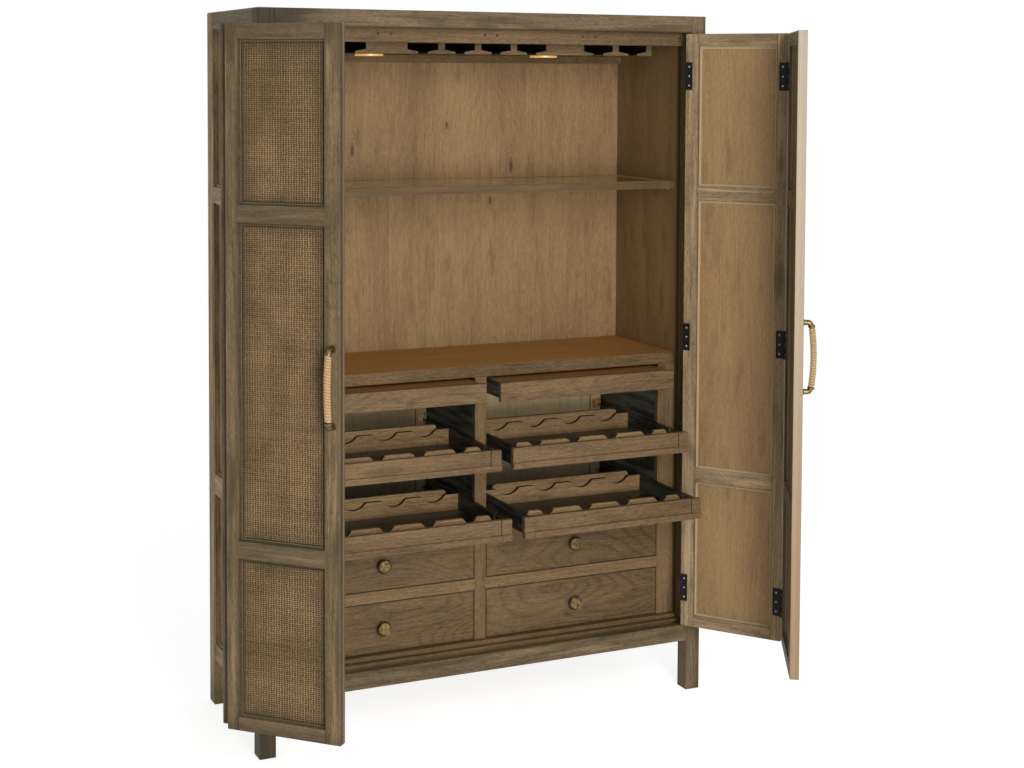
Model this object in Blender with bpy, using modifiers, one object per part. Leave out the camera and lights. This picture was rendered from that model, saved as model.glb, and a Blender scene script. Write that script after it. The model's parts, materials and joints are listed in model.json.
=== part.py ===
"""Bar cabinet on four posts, with folding doors, wine racks, trays, drawers and a stemware rack.

Everything is modelled in cabinet coordinates: X runs along the front with 0 at the middle,
Y runs from the front of the posts to the back, and Z runs up from the floor.
The doors are modelled shut and the racks pushed in, and then each joint's empty is posed.
"""
import math

import bmesh
import bpy
from mathutils import Matrix, Vector

# Overall sizes
WIDTH = 1.424
DEPTH = 0.525
HEIGHT = 2.10
FIT = 0.0003
WELD = 0.000001
POST_WIDTH = 0.048
POST_DEPTH = 0.052
POST_CHAMFER = 0.0015

# Rails, panels and boards of the case
RAIL_THICKNESS = 0.022
TOP_RAIL_HEIGHT = 0.0505
FRONT_RAIL_BOTTOM = 0.157
FRONT_RAIL_HEIGHT = 0.051
SIDE_RAIL_BOTTOM = 0.140
SIDE_RAIL_HEIGHT = 0.050
LOW_CROSS_RAIL = (0.651, 0.7125)
HIGH_CROSS_RAIL_DROP = 0.568
HIGH_CROSS_RAIL_WIDTH = 0.048
HIGH_CROSS_RAIL = (HEIGHT - HIGH_CROSS_RAIL_DROP,
                   HEIGHT - HIGH_CROSS_RAIL_DROP + HIGH_CROSS_RAIL_WIDTH)
SIDE_SET_IN = 0.002
SIDE_PANEL_RECESS = 0.012
SIDE_PANEL_THICKNESS = 0.008
SIDE_BEAD = 0.008
SIDE_BEAD_DEPTH = 0.005
BACK_SHEET = 0.009
BACK_STILE = 0.045
INNER_WALL = 0.012
TOP_PANEL = 0.018
EDGE_ROUND = 0.0015

# Lower case: bottom board, stop strips, face frame, counter
BOARD_TOP = 0.224
BOARD_THICKNESS = 0.018
STOP_FRONT = 0.050
STOP_THICKNESS = 0.022
LOWER_STOP_DROP = 0.0665
LOWER_STOP_STEP = 0.0115
UPPER_STOP_DROP = 0.0905
UPPER_STOP_BOTTOM = HEIGHT - UPPER_STOP_DROP
FACE_FRONT = 0.090
FACE_THICKNESS = 0.020
FACE_STILE = 0.0575
CENTRE_STILE = 0.037
MIDDLE_RAIL = 0.0335
DECK_RAIL = 0.0305
DECK_THICKNESS = 0.018
COUNTER_BOTTOM = 1.0172
COUNTER_THICKNESS = 0.0343
BACK_FRONT = 0.478
LINER_THICKNESS = 0.018

# Drawers
DRAWER_FRONT = 0.147
DRAWER_GAP = 0.002
DRAWER_LENGTH = 0.365
DRAWER_WALL = 0.012
DRAWER_FLOOR = 0.008
DRAWER_DROP = 0.012
DRAWER_SIDE = 0.110
DRAWER_SLIDE = 0.050
CARRIER_FRONT = 0.018
CARRIER_SIDE_GAP = 0.0015

# Ball-bearing slides beside every drawer, rack and tray
SLIDE_SPACE = 0.0127
SLIDE_HEIGHT = 0.035
SLIDE_METAL = 0.0015
SLIDE_LIP = 0.0122
SLIDE_PLAY = 0.0005

# Wine racks
RACK_FRONT = 0.061
RACK_PITCH = 0.1845
RACK_GAP = 0.002
RACK_LENGTH = 0.365
RACK_SIDE = 0.044
RACK_LIFT = 0.006
RACK_FLOOR = 0.008
RACK_SLIDE = 0.031
RACK_BLOCK = 0.032
RACK_RECESS = 0.003
RACK_LEDGE = 0.004
RACK_LEDGE_HEIGHT = 0.018
BOTTLE_PITCH = 0.1265
BOTTLES = 4
NECK_BOARD_BACK = 0.022
NECK_BOARD_HALF = 0.236
NECK_BOARD_TOP = 0.070
NECK_RADIUS = 0.019
BODY_BOARD_BACK = 0.255
BODY_BOARD_HALF = 0.2165
BODY_BOARD_TOP = 0.081
BODY_CRADLE = 0.019
REAR_BOARD_BACK = 0.330
REAR_BOARD_HALF = 0.200
REAR_CORNER = 0.010
RACK_BOARD = 0.012

# Trays under the counter
TRAY_FRONT = 0.0572
TRAY_GAP = 0.0035
TRAY_LENGTH = 0.365
TRAY_TOP = 0.011
TRAY_TOP_STEP = 0.003
TRAY_SIDE = 0.046
TRAY_SLIDE = 0.030

# Shelf with its glass
SHELF_DROP = 0.5335
SHELF_BOTTOM = HEIGHT - SHELF_DROP
SHELF_THICKNESS = 0.0222
SHELF_FRONT = 0.094
SHELF_BORDER = 0.050
SHELF_REBATE = 0.008
GLASS_THICKNESS = 0.005
PIN_RADIUS = 0.0035
PIN_LENGTH = 0.012
PIN_SETBACK = 0.036

# Stemware rack and its lights
STEM_DROP = 0.121
STEM_BOTTOM = HEIGHT - STEM_DROP
STEM_FRONT = 0.119
STEM_PLATE = 0.020
STEM_HALF = 0.0105
STEM_PLACES = (0.0, 0.117, 0.463)
LIGHT_BLOCK_PLACE = 0.289
LIGHT_BLOCK_HALF = 0.064
END_BLOCK_PLACE = 0.580
END_BLOCK_HALF = 0.009
FLANGE_REACH = 0.033
FLANGE_ROOT = 0.012
FLANGE_TIP = 0.006
CLEAT_DROP = 0.144
CLEAT_BOTTOM = HEIGHT - CLEAT_DROP
CLEAT_THICKNESS = 0.022
LIGHT_RADIUS = 0.0425
LIGHT_HEIGHT = 0.010
LIGHT_SKIRT = 0.006
LENS_RADIUS = 0.035
LENS_DEPTH = 0.008
LENS_CROWN = 0.0095
LIGHT_SETBACK = 0.27

# Folding doors
DOOR_SETBACK = 0.013
DOOR_THICKNESS = 0.0265
DOOR_BOTTOM_GAP = 0.0058
DOOR_TOP_GAP = 0.004
CENTRE_GAP = 0.003
FOLD_GAP = 0.002
OUTER_STILE = 0.044
FOLD_STILE = 0.034
DOOR_TOP_RAIL = 0.040
DOOR_BOTTOM_RAIL = 0.036
DOOR_LOW_RAIL = (0.667, 0.712)
DOOR_HIGH_RAIL_DROP = 0.563
DOOR_HIGH_RAIL_WIDTH = 0.046
DOOR_HIGH_RAIL = (HEIGHT - DOOR_HIGH_RAIL_DROP,
                  HEIGHT - DOOR_HIGH_RAIL_DROP + DOOR_HIGH_RAIL_WIDTH)
PANEL_THICKNESS = 0.005
PANEL_DEPTH = 0.0108
PANEL_GROOVE = 0.006
DOOR_BEAD = 0.005
DOOR_BEAD_DEPTH = 0.003
DOOR_EDGE = 0.001

# Hinges on the posts and at the folds
POST_AXIS_SIDE = 0.004
LEAF_AXIS_SIDE = 0.002
AXIS_BEFORE_FACE = 0.005
AXIS_BEHIND_FACE = 0.004
HINGE_HEIGHT = 0.084
HINGE_REACH = 0.0225
HINGE_METAL = 0.0015
TOP_HINGE_DROP = 0.183
MIDDLE_HINGE = 1.116
BOTTOM_HINGE = 0.334
HINGE_PLACES = (
    ("top", HEIGHT - TOP_HINGE_DROP),
    ("middle", MIDDLE_HINGE),
    ("bottom", BOTTOM_HINGE),
)
POST_KNUCKLE = 0.0035
FOLD_KNUCKLE = 0.0033
KNUCKLE_CLEAR = 0.004
WEB_SIDE = 0.0005

# Handles with their rope grips
HANDLE_HEIGHT = 1.130
HANDLE_CENTRES = 0.196
HANDLE_EDGE = 0.022
HANDLE_STANDOFF = 0.022
HANDLE_RISE = 0.008
HANDLE_CORE = 0.0026
HANDLE_BALL = 0.0105
HANDLE_STEM = 0.0055
HANDLE_FOOT = 0.010
HANDLE_FOOT_EDGE = 0.0018
HANDLE_FOOT_RISE = 0.003
COLLAR_INSET = 0.0063
COLLAR_RADIUS = 0.0085
COLLAR_LENGTH = 0.004
ROPE_RADIUS = 0.0034
ROPE_LOOPS = 20
ROPE_POINTS = 14
ROPE_BEND = 0.006
ROPE_BEND_STEPS = 6
ROPE_STEEPEST = 79.0

# Knobs, turned to shares of their radius and reach
KNOB_RADIUS = 0.0195
KNOB_REACH = 0.022
KNOB_FORM = (
    (0.0, 1.0), (0.55, 0.97), (0.86, 0.88), (1.0, 0.72), (0.88, 0.56),
    (0.45, 0.46), (0.34, 0.25), (0.52, 0.10), (0.55, 0.0), (0.0, 0.0),
)

# Poses shown: door angles in degrees, drawn lengths in metres
POST_ANGLE = {"left": 133.0, "right": 126.0}
FOLD_ANGLE = {"left": 87.0, "right": 65.6}
TRAY_DRAWN = {"left": 0.090, "right": 0.101}
UPPER_RACK_DRAWN = {"left": 0.195, "right": 0.190}
LOWER_RACK_DRAWN = {"left": 0.270, "right": 0.270}

# Lengths that follow from the sizes above
INNER_X = WIDTH / 2 - POST_WIDTH
CASE_FRONT = POST_DEPTH + FIT
CASE_BACK = DEPTH - POST_DEPTH - FIT
SIDE_OUTER = WIDTH / 2 - SIDE_SET_IN
SIDE_INNER = SIDE_OUTER - RAIL_THICKNESS
FRONT_RAIL_TOP = FRONT_RAIL_BOTTOM + FRONT_RAIL_HEIGHT
FACE_BACK = FACE_FRONT + FACE_THICKNESS
BAY_OUTER = INNER_X - FACE_STILE
BAY_INNER = CENTRE_STILE / 2
BAY_MIDDLE = (BAY_OUTER + BAY_INNER) / 2
BAY_HALF = (BAY_OUTER - BAY_INNER) / 2
BAY_BACK = BACK_FRONT - FIT
CARRIER_HALF = BAY_HALF - SLIDE_SPACE
MIDDLE_RAIL_BOTTOM = BOARD_TOP + DRAWER_FRONT + 2 * DRAWER_GAP
MIDDLE_RAIL_TOP = MIDDLE_RAIL_BOTTOM + MIDDLE_RAIL
DECK_RAIL_BOTTOM = MIDDLE_RAIL_TOP + DRAWER_FRONT + 2 * DRAWER_GAP
DECK_TOP = DECK_RAIL_BOTTOM + DECK_RAIL
LOWER_DRAWER_Z = BOARD_TOP + DRAWER_GAP
UPPER_DRAWER_Z = MIDDLE_RAIL_TOP + DRAWER_GAP
LOWER_RACK_Z = DECK_TOP + RACK_GAP
UPPER_RACK_Z = LOWER_RACK_Z + RACK_PITCH
TRAY_Z = COUNTER_BOTTOM - TRAY_GAP
SLIDE_LEVELS = (
    LOWER_DRAWER_Z + DRAWER_SLIDE,
    UPPER_DRAWER_Z + DRAWER_SLIDE,
    LOWER_RACK_Z + RACK_SLIDE,
    UPPER_RACK_Z + RACK_SLIDE,
    TRAY_Z - TRAY_SLIDE,
)
TOP_UNDERSIDE = HEIGHT - TOP_PANEL
DOOR_BOTTOM = FRONT_RAIL_TOP + DOOR_BOTTOM_GAP
DOOR_TOP = HEIGHT - TOP_RAIL_HEIGHT - DOOR_TOP_GAP
DOOR_INNER_FACE = DOOR_SETBACK + DOOR_THICKNESS
POST_AXIS = Vector((INNER_X - POST_AXIS_SIDE, DOOR_SETBACK - AXIS_BEFORE_FACE, 0.0))
LEAF_EDGE = POST_AXIS.x - LEAF_AXIS_SIDE
LEAF_WIDTH = (LEAF_EDGE - CENTRE_GAP / 2 - FOLD_GAP) / 2
FOLD_AXIS = Vector((LEAF_EDGE - LEAF_WIDTH - FOLD_GAP / 2, DOOR_INNER_FACE + AXIS_BEHIND_FACE, 0.0))
SIDES = {"left": -1, "right": 1}


def clear_scene():
    for old in list(bpy.data.objects):
        bpy.data.objects.remove(old, do_unlink=True)


def new_collection(name):
    collection = bpy.data.collections.new(name)
    bpy.context.scene.collection.children.link(collection)
    return collection


def new_material(name, colour, roughness, metallic=0.0):
    material = bpy.data.materials.new(name)
    material.use_nodes = True
    shader = material.node_tree.nodes["Principled BSDF"]
    shader.inputs["Base Color"].default_value = (*colour, 1.0)
    shader.inputs["Roughness"].default_value = roughness
    shader.inputs["Metallic"].default_value = metallic
    return material


clear_scene()
PARTS = new_collection("bar_cabinet")
CUTTERS = new_collection("cutters")
OAK = new_material("weathered oak", (0.30, 0.23, 0.16), 0.6)
VENEER = new_material("light veneer", (0.42, 0.32, 0.22), 0.55)
COUNTER_WOOD = new_material("counter wood", (0.22, 0.12, 0.05), 0.4)
WOVEN = new_material("woven panel", (0.28, 0.24, 0.16), 0.8)
GLASS = new_material("shelf glass", (0.75, 0.80, 0.78), 0.05)
BLACK_METAL = new_material("black metal", (0.03, 0.03, 0.03), 0.4, 0.9)
BLACK_WOOD = new_material("black painted wood", (0.025, 0.022, 0.02), 0.5)
BRASS = new_material("antique brass", (0.18, 0.13, 0.07), 0.35, 1.0)
ROPE = new_material("rope", (0.50, 0.38, 0.22), 0.9)
LIGHT_METAL = new_material("light housing", (0.60, 0.50, 0.38), 0.4, 0.3)


def add_object(name, data, material, tool=False):
    """Put a new object in the parts, or with the hidden tools that cut and join them."""
    thing = bpy.data.objects.new(name, data)
    if tool:
        CUTTERS.objects.link(thing)
        thing.hide_render = True
        thing.display_type = "WIRE"
    else:
        PARTS.objects.link(thing)
    if material is not None:
        data.materials.append(material)
    return thing


def mesh_from(form, name):
    mesh = bpy.data.meshes.new(name)
    form.to_mesh(mesh)
    form.free()
    return mesh


def bevel(thing, width, segments=1):
    modifier = thing.modifiers.new("bevel", "BEVEL")
    modifier.width = width
    modifier.segments = segments
    modifier.limit_method = "ANGLE"
    return thing


def box(name, x, y, z, material=None, tool=False, edge=0.0):
    """A block between two places along each axis."""
    form = bmesh.new()
    bmesh.ops.create_cube(form, size=1.0)
    size = [abs(high - low) for low, high in (x, y, z)]
    bmesh.ops.scale(form, vec=size, verts=form.verts)
    block = add_object(name, mesh_from(form, name), material, tool)
    block.location = [(low + high) / 2 for low, high in (x, y, z)]
    if edge:
        bevel(block, edge)
    return block


def cylinder(name, radius, length, centre, material=None, tool=False, segments=10):
    """An upright cylinder round a centre."""
    form = bmesh.new()
    bmesh.ops.create_cone(
        form, cap_ends=True, segments=segments, radius1=radius, radius2=radius, depth=length
    )
    thing = add_object(name, mesh_from(form, name), material, tool)
    thing.location = centre
    return thing


def curve_to_mesh(curve_object, name, material, tool):
    """Turn a curve object into a welded mesh object at the same place."""
    graph = bpy.context.evaluated_depsgraph_get()
    mesh = bpy.data.meshes.new_from_object(curve_object.evaluated_get(graph))
    mesh.name = name
    form = bmesh.new()
    form.from_mesh(mesh)
    bmesh.ops.remove_doubles(form, verts=form.verts, dist=WELD)
    bmesh.ops.dissolve_limit(form, angle_limit=WELD, verts=[], edges=form.edges)
    caps = [face for face in form.faces if len(face.verts) > 4]
    bmesh.ops.triangulate(form, faces=caps, ngon_method="BEAUTY")
    form.to_mesh(mesh)
    form.free()
    mesh.materials.clear()
    thing = add_object(name, mesh, material, tool)
    thing.matrix_world = curve_object.matrix_world
    curve = curve_object.data
    bpy.data.objects.remove(curve_object, do_unlink=True)
    bpy.data.curves.remove(curve)
    return thing


PLANE_TURNS = {
    "XY": (0.0, 0.0, 0.0),
    "XZ": (math.pi / 2, 0.0, 0.0),
    "YZ": (math.pi / 2, 0.0, math.pi / 2),
}


def outline(name, loops, plane, span, material=None, tool=False):
    """Flat closed loops in a plane, made as thick as the span along the third axis."""
    curve = bpy.data.curves.new(name, "CURVE")
    curve.dimensions = "2D"
    curve.fill_mode = "BOTH"
    curve.extrude = abs(span[1] - span[0]) / 2
    for loop in loops:
        spline = curve.splines.new("POLY")
        spline.points.add(len(loop) - 1)
        for point, (across, up) in zip(spline.points, loop):
            point.co = (across, up, 0.0, 1.0)
        spline.use_cyclic_u = True
    drawing = bpy.data.objects.new(name + "_drawing", curve)
    drawing.rotation_euler = PLANE_TURNS[plane]
    middle = (span[0] + span[1]) / 2
    drawing.location = [0.0 if axis in plane else middle for axis in "XYZ"]
    CUTTERS.objects.link(drawing)
    bpy.context.view_layer.update()
    return curve_to_mesh(drawing, name, material, tool)


def turned(name, profile, material=None, tool=False, steps=24):
    """A profile of (radius, height) pairs, listed from the top down, turned about Z."""
    mesh = bpy.data.meshes.new(name)
    points = [(radius, 0.0, height) for radius, height in profile]
    mesh.from_pydata(points, [(i, i + 1) for i in range(len(points) - 1)], [])
    thing = add_object(name, mesh, material, tool)
    screw = thing.modifiers.new("turn", "SCREW")
    screw.steps = steps
    screw.render_steps = steps
    screw.use_merge_vertices = True
    screw.merge_threshold = WELD
    return thing


def combine(target, tool, operation):
    """Join a tool to its piece, or cut it away, and let it follow the piece."""
    modifier = target.modifiers.new(tool.name, "BOOLEAN")
    modifier.operation = operation
    modifier.object = tool
    modifier.solver = "EXACT"
    tool.parent = target
    tool.matrix_parent_inverse = target.matrix_basis.inverted()
    return target


def join(target, tool):
    return combine(target, tool, "UNION")


def cut(target, tool):
    return combine(target, tool, "DIFFERENCE")


def smooth(thing, degrees=35.0):
    """Shade a round piece smooth between its sharp edges."""
    thing.data.shade_smooth()
    thing.data.set_sharp_from_angle(angle=math.radians(degrees))
    return thing


def mirrored(span, sign):
    """A span along X on the left (-1) or right (+1) side."""
    return tuple(sorted((span[0] * sign, span[1] * sign)))


def rectangle(x, z):
    return [(x[0], z[0]), (x[1], z[0]), (x[1], z[1]), (x[0], z[1])]


def arc(centre, radius, start, end, count):
    """Points along a circular arc, with the angles in degrees."""
    angles = [math.radians(start + (end - start) * i / count) for i in range(count + 1)]
    return [(centre[0] + radius * math.cos(a), centre[1] + radius * math.sin(a)) for a in angles]


# Hinge wings

def post_wing(post, name, sign, height):
    """The fixed wing on a post: plate, two knuckles and the tabs between them."""
    face = INNER_X - HINGE_METAL
    into = INNER_X + FIT
    half = HINGE_HEIGHT / 2
    plate_y = (POST_AXIS.y + KNUCKLE_CLEAR, POST_AXIS.y + KNUCKLE_CLEAR + HINGE_REACH)
    join(post, box(name + "_plate", mirrored((face, into), sign), plate_y,
                   (height - half, height + half), tool=True))
    third = HINGE_HEIGHT / 3
    for place, middle in (("upper", height + third), ("lower", height - third)):
        span = (middle - third / 2, middle + third / 2)
        join(post, box(name + "_tab_" + place, mirrored((POST_AXIS.x, into), sign),
                       (POST_AXIS.y - HINGE_METAL / 2, plate_y[0] + HINGE_METAL), span, tool=True))
        centre = (POST_AXIS.x * sign, POST_AXIS.y, middle)
        join(post, cylinder(name + "_knuckle_" + place, POST_KNUCKLE, third, centre, tool=True))


def post_hinge(name, sign, height):
    """The moving wing at a post: knuckle, web round the leaf's edge and plate on its inner face."""
    half = HINGE_HEIGHT / 2
    web = POST_AXIS.x - LEAF_AXIS_SIDE + FIT
    web_outer = POST_AXIS.x - WEB_SIDE
    face = DOOR_INNER_FACE + FIT
    section = [
        (web, POST_AXIS.y + KNUCKLE_CLEAR),
        (web_outer, POST_AXIS.y + KNUCKLE_CLEAR),
        (web_outer, face + HINGE_METAL),
        (web - HINGE_REACH, face + HINGE_METAL),
        (web - HINGE_REACH, face),
        (web, face),
    ]
    section = [(x * sign, y) for x, y in section]
    wing = outline(name, [section], "XY", (height - half, height + half), BLACK_METAL)
    third = HINGE_HEIGHT / 3 - 2 * FIT
    span = (height - third / 2, height + third / 2)
    join(wing, box(name + "_tab", mirrored((web, web_outer), sign),
                   (POST_AXIS.y, POST_AXIS.y + KNUCKLE_CLEAR + HINGE_METAL), span, tool=True))
    centre = (POST_AXIS.x * sign, POST_AXIS.y, height)
    join(wing, cylinder(name + "_knuckle", POST_KNUCKLE, third, centre, tool=True))
    return wing


def fold_tab(sign, outward, span):
    """The tab that links a fold knuckle to its plate, on either side of the axis."""
    reach = KNUCKLE_CLEAR + HINGE_METAL / 2
    x = sorted((FOLD_AXIS.x * sign, (FOLD_AXIS.x + outward * reach) * sign))
    low = FOLD_AXIS.y - FOLD_KNUCKLE
    return tuple(x), (low, low + HINGE_METAL), span


def fold_plate(sign, outward, low, high, span):
    """The plate of a fold hinge, from just past the knuckle to its far edge."""
    near = FOLD_AXIS.x + outward * KNUCKLE_CLEAR
    far = near + outward * HINGE_REACH
    return tuple(sorted((near * sign, far * sign))), (low, high), span


def fold_wing(frame, name, sign, height):
    """The fixed wing of a fold hinge, on the side leaf's inner face."""
    half = HINGE_HEIGHT / 2
    face = DOOR_INNER_FACE
    x, y, z = fold_plate(sign, 1, face - FIT, face + HINGE_METAL, (height - half, height + half))
    join(frame, box(name + "_plate", x, y, z, tool=True))
    third = HINGE_HEIGHT / 3
    for place, middle in (("upper", height + third), ("lower", height - third)):
        x, y, z = fold_tab(sign, 1, (middle - third / 2, middle + third / 2))
        join(frame, box(name + "_tab_" + place, x, y, z, tool=True))
        centre = (FOLD_AXIS.x * sign, FOLD_AXIS.y, middle)
        join(frame, cylinder(name + "_knuckle_" + place, FOLD_KNUCKLE, third, centre, tool=True))


def fold_hinge(name, sign, height):
    """The moving wing of a fold hinge, on the centre leaf's inner face."""
    half = HINGE_HEIGHT / 2
    face = DOOR_INNER_FACE + FIT
    x, y, z = fold_plate(sign, -1, face, face + HINGE_METAL, (height - half, height + half))
    wing = box(name, x, y, z, BLACK_METAL)
    third = HINGE_HEIGHT / 3 - 2 * FIT
    x, y, z = fold_tab(sign, -1, (height - third / 2, height + third / 2))
    join(wing, box(name + "_tab", x, y, z, tool=True))
    centre = (FOLD_AXIS.x * sign, FOLD_AXIS.y, height)
    join(wing, cylinder(name + "_knuckle", FOLD_KNUCKLE, third, centre, tool=True))
    return wing


# The case

def build_posts():
    posts = []
    rows = (("front", (0.0, POST_DEPTH)), ("rear", (DEPTH - POST_DEPTH, DEPTH)))
    for side, sign in SIDES.items():
        for row, y in rows:
            name = "post_%s_%s" % (row, side)
            x = mirrored((INNER_X, WIDTH / 2), sign)
            post = box(name, x, y, (0.0, HEIGHT), OAK, edge=POST_CHAMFER)
            if row == "front":
                for place, height in HINGE_PLACES:
                    post_wing(post, "%s_%s_wing" % (name, place), sign, height)
            posts.append(post)
    return posts


def build_top_panel():
    """The top board, notched at its corners round the posts."""
    wide = SIDE_INNER - FIT
    narrow = INNER_X - FIT
    front = RAIL_THICKNESS + FIT
    back = BACK_FRONT - FIT
    loop = [
        (-narrow, front), (narrow, front), (narrow, CASE_FRONT), (wide, CASE_FRONT),
        (wide, CASE_BACK), (narrow, CASE_BACK), (narrow, back), (-narrow, back),
        (-narrow, CASE_BACK), (-wide, CASE_BACK), (-wide, CASE_FRONT), (-narrow, CASE_FRONT),
    ]
    return outline("top_panel", [loop], "XY", (TOP_UNDERSIDE, HEIGHT), OAK)


def build_front_rails():
    x = (-(INNER_X - FIT), INNER_X - FIT)
    y = (0.0, RAIL_THICKNESS)
    top = box("front_top_rail", x, y, (HEIGHT - TOP_RAIL_HEIGHT, HEIGHT), OAK, edge=EDGE_ROUND)
    low = box("front_bottom_rail", x, y, (FRONT_RAIL_BOTTOM, FRONT_RAIL_TOP), OAK, edge=EDGE_ROUND)
    return [top, low]


def panel_windows():
    """The three panel heights between the rails of a side or of the back."""
    edges = [SIDE_RAIL_BOTTOM + SIDE_RAIL_HEIGHT, *LOW_CROSS_RAIL, *HIGH_CROSS_RAIL,
             HEIGHT - TOP_RAIL_HEIGHT]
    return list(zip(edges[0::2], edges[1::2]))


def build_side(side):
    """A side frame: three recessed panels between rails, each with a small bead round it."""
    sign = SIDES[side]
    y = (CASE_FRONT, CASE_BACK)
    sheet_outer = SIDE_OUTER - SIDE_PANEL_RECESS
    sheet = mirrored((sheet_outer - SIDE_PANEL_THICKNESS, sheet_outer), sign)
    name = side + "_side"
    panel = box(name, sheet, y, (SIDE_RAIL_BOTTOM, HEIGHT), OAK)
    whole = rectangle(y, (SIDE_RAIL_BOTTOM, HEIGHT))
    inset = SIDE_BEAD
    holes = [rectangle((y[0] + inset, y[1] - inset), (low, high)) for low, high in panel_windows()]
    bars = outline(name + "_bars", [whole] + holes, "YZ",
                   mirrored((SIDE_INNER, SIDE_OUTER), sign), tool=True)
    join(panel, bars)
    bead_x = mirrored((sheet_outer - FIT, sheet_outer + SIDE_BEAD_DEPTH), sign)
    for number, (low, high) in enumerate(panel_windows()):
        across = (y[0] + inset - FIT, y[1] - inset + FIT)
        upward = (low - FIT, high + FIT)
        ring = [
            rectangle(across, upward),
            rectangle((across[0] + SIDE_BEAD, across[1] - SIDE_BEAD),
                      (upward[0] + SIDE_BEAD, upward[1] - SIDE_BEAD)),
        ]
        join(panel, outline("%s_bead_%d" % (name, number), ring, "YZ", bead_x, tool=True))
    return panel


def build_back():
    """The back sheet with the rails and stiles that stiffen it from behind."""
    half = INNER_X - FIT
    z = (SIDE_RAIL_BOTTOM, HEIGHT)
    sheet = box("back_panel", (-half, half), (BACK_FRONT, BACK_FRONT + BACK_SHEET), z, VENEER)
    inner = half - BACK_STILE
    loops = [rectangle((-half, half), z)]
    loops += [rectangle((-inner, inner), window) for window in panel_windows()]
    behind = BACK_FRONT + BACK_SHEET
    join(sheet, outline("back_rails", loops, "XZ", (behind - FIT, behind + RAIL_THICKNESS), tool=True))
    return sheet


def rail_section(face, sign, level):
    """A slide's fixed channel as outline points, on a wall face that looks along the sign."""
    half = SLIDE_HEIGHT / 2
    tip = face + sign * SLIDE_LIP
    web = face + sign * SLIDE_METAL
    return [
        (face, level - half), (tip, level - half), (tip, level - half + SLIDE_METAL),
        (web, level - half + SLIDE_METAL), (web, level + half - SLIDE_METAL),
        (tip, level + half - SLIDE_METAL), (tip, level + half), (face, level + half),
    ]


def build_inner_side(side):
    """An inner wall with its shelf pins, and the liner that carries the slides."""
    sign = SIDES[side]
    name = side + "_inner_side"
    wall = box(name, mirrored((INNER_X, INNER_X + INNER_WALL), sign), (CASE_FRONT, CASE_BACK),
               (SIDE_RAIL_BOTTOM, TOP_UNDERSIDE - FIT), VENEER)
    low = BOARD_TOP + FIT
    high = COUNTER_BOTTOM - FIT
    inward = [(BAY_OUTER, low)]
    for level in SLIDE_LEVELS:
        inward += rail_section(BAY_OUTER, -1, level)
    outer = INNER_X + INNER_WALL / 2
    liner = [(outer, low)] + inward + [(BAY_OUTER, high), (outer, high)]
    hollow = rectangle((BAY_OUTER + LINER_THICKNESS, INNER_X - FIT),
                       (low + LINER_THICKNESS, high - LINER_THICKNESS))
    loops = [[(x * sign, z) for x, z in loop] for loop in (liner, hollow)]
    join(wall, outline(name + "_liner", loops, "XZ", (FACE_BACK + FIT, CASE_BACK - FIT), tool=True))
    for number, y in enumerate((SHELF_FRONT + PIN_SETBACK, BAY_BACK - PIN_SETBACK)):
        centre = ((INNER_X - PIN_LENGTH / 2 + FIT) * sign, y, SHELF_BOTTOM - FIT - PIN_RADIUS)
        pin = cylinder("%s_pin_%d" % (name, number), PIN_RADIUS, PIN_LENGTH, centre, tool=True)
        pin.rotation_euler = (0.0, math.pi / 2, 0.0)
        join(wall, pin)
    return wall


def build_bottom_board():
    """The bottom board with the door stop strip along its front."""
    stop_back = STOP_FRONT + STOP_THICKNESS
    underside = BOARD_TOP - BOARD_THICKNESS
    step = BOARD_TOP - LOWER_STOP_STEP
    loop = [
        (STOP_FRONT, BOARD_TOP - LOWER_STOP_DROP), (stop_back, BOARD_TOP - LOWER_STOP_DROP),
        (stop_back, underside), (BAY_BACK, underside), (BAY_BACK, BOARD_TOP),
        (stop_back, BOARD_TOP), (stop_back, step), (STOP_FRONT, step),
    ]
    return outline("bottom_board", [loop], "YZ", (-(INNER_X - FIT), INNER_X - FIT), OAK)


def build_face_frame():
    """Three stiles and two rails before the bays and the drawers."""
    outer = INNER_X - FIT
    low = BOARD_TOP + FIT
    high = COUNTER_BOTTOM - FIT
    half = [
        (BAY_INNER, low), (BAY_INNER, MIDDLE_RAIL_BOTTOM), (BAY_OUTER, MIDDLE_RAIL_BOTTOM),
        (BAY_OUTER, low), (outer, low), (outer, high), (BAY_OUTER, high),
        (BAY_OUTER, DECK_TOP), (BAY_INNER, DECK_TOP), (BAY_INNER, high),
    ]
    edge = half + [(-x, z) for x, z in reversed(half)]
    holes = [rectangle(mirrored((BAY_INNER, BAY_OUTER), sign), (MIDDLE_RAIL_TOP, DECK_RAIL_BOTTOM))
             for sign in SIDES.values()]
    frame = outline("face_frame", [edge] + holes, "XZ", (FACE_FRONT, FACE_BACK), OAK)
    return frame


def build_divider():
    """The upright divider between the bays with its deck, and slide channels on both faces."""
    low = BOARD_TOP + FIT
    high = COUNTER_BOTTOM - FIT
    deck = (DECK_TOP - FIT - DECK_THICKNESS, DECK_TOP - FIT)
    half = [(BAY_INNER, low)]
    for level in SLIDE_LEVELS[:2]:
        half += rail_section(BAY_INNER, 1, level)
    reach = BAY_OUTER - FIT
    half += [(BAY_INNER, deck[0]), (reach, deck[0]), (reach, deck[1]), (BAY_INNER, deck[1])]
    for level in SLIDE_LEVELS[2:]:
        half += rail_section(BAY_INNER, 1, level)
    half.append((BAY_INNER, high))
    loop = half + [(-x, z) for x, z in reversed(half)]
    return outline("bay_divider", [loop], "XZ", (FACE_BACK + FIT, BAY_BACK), BLACK_WOOD)


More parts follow.
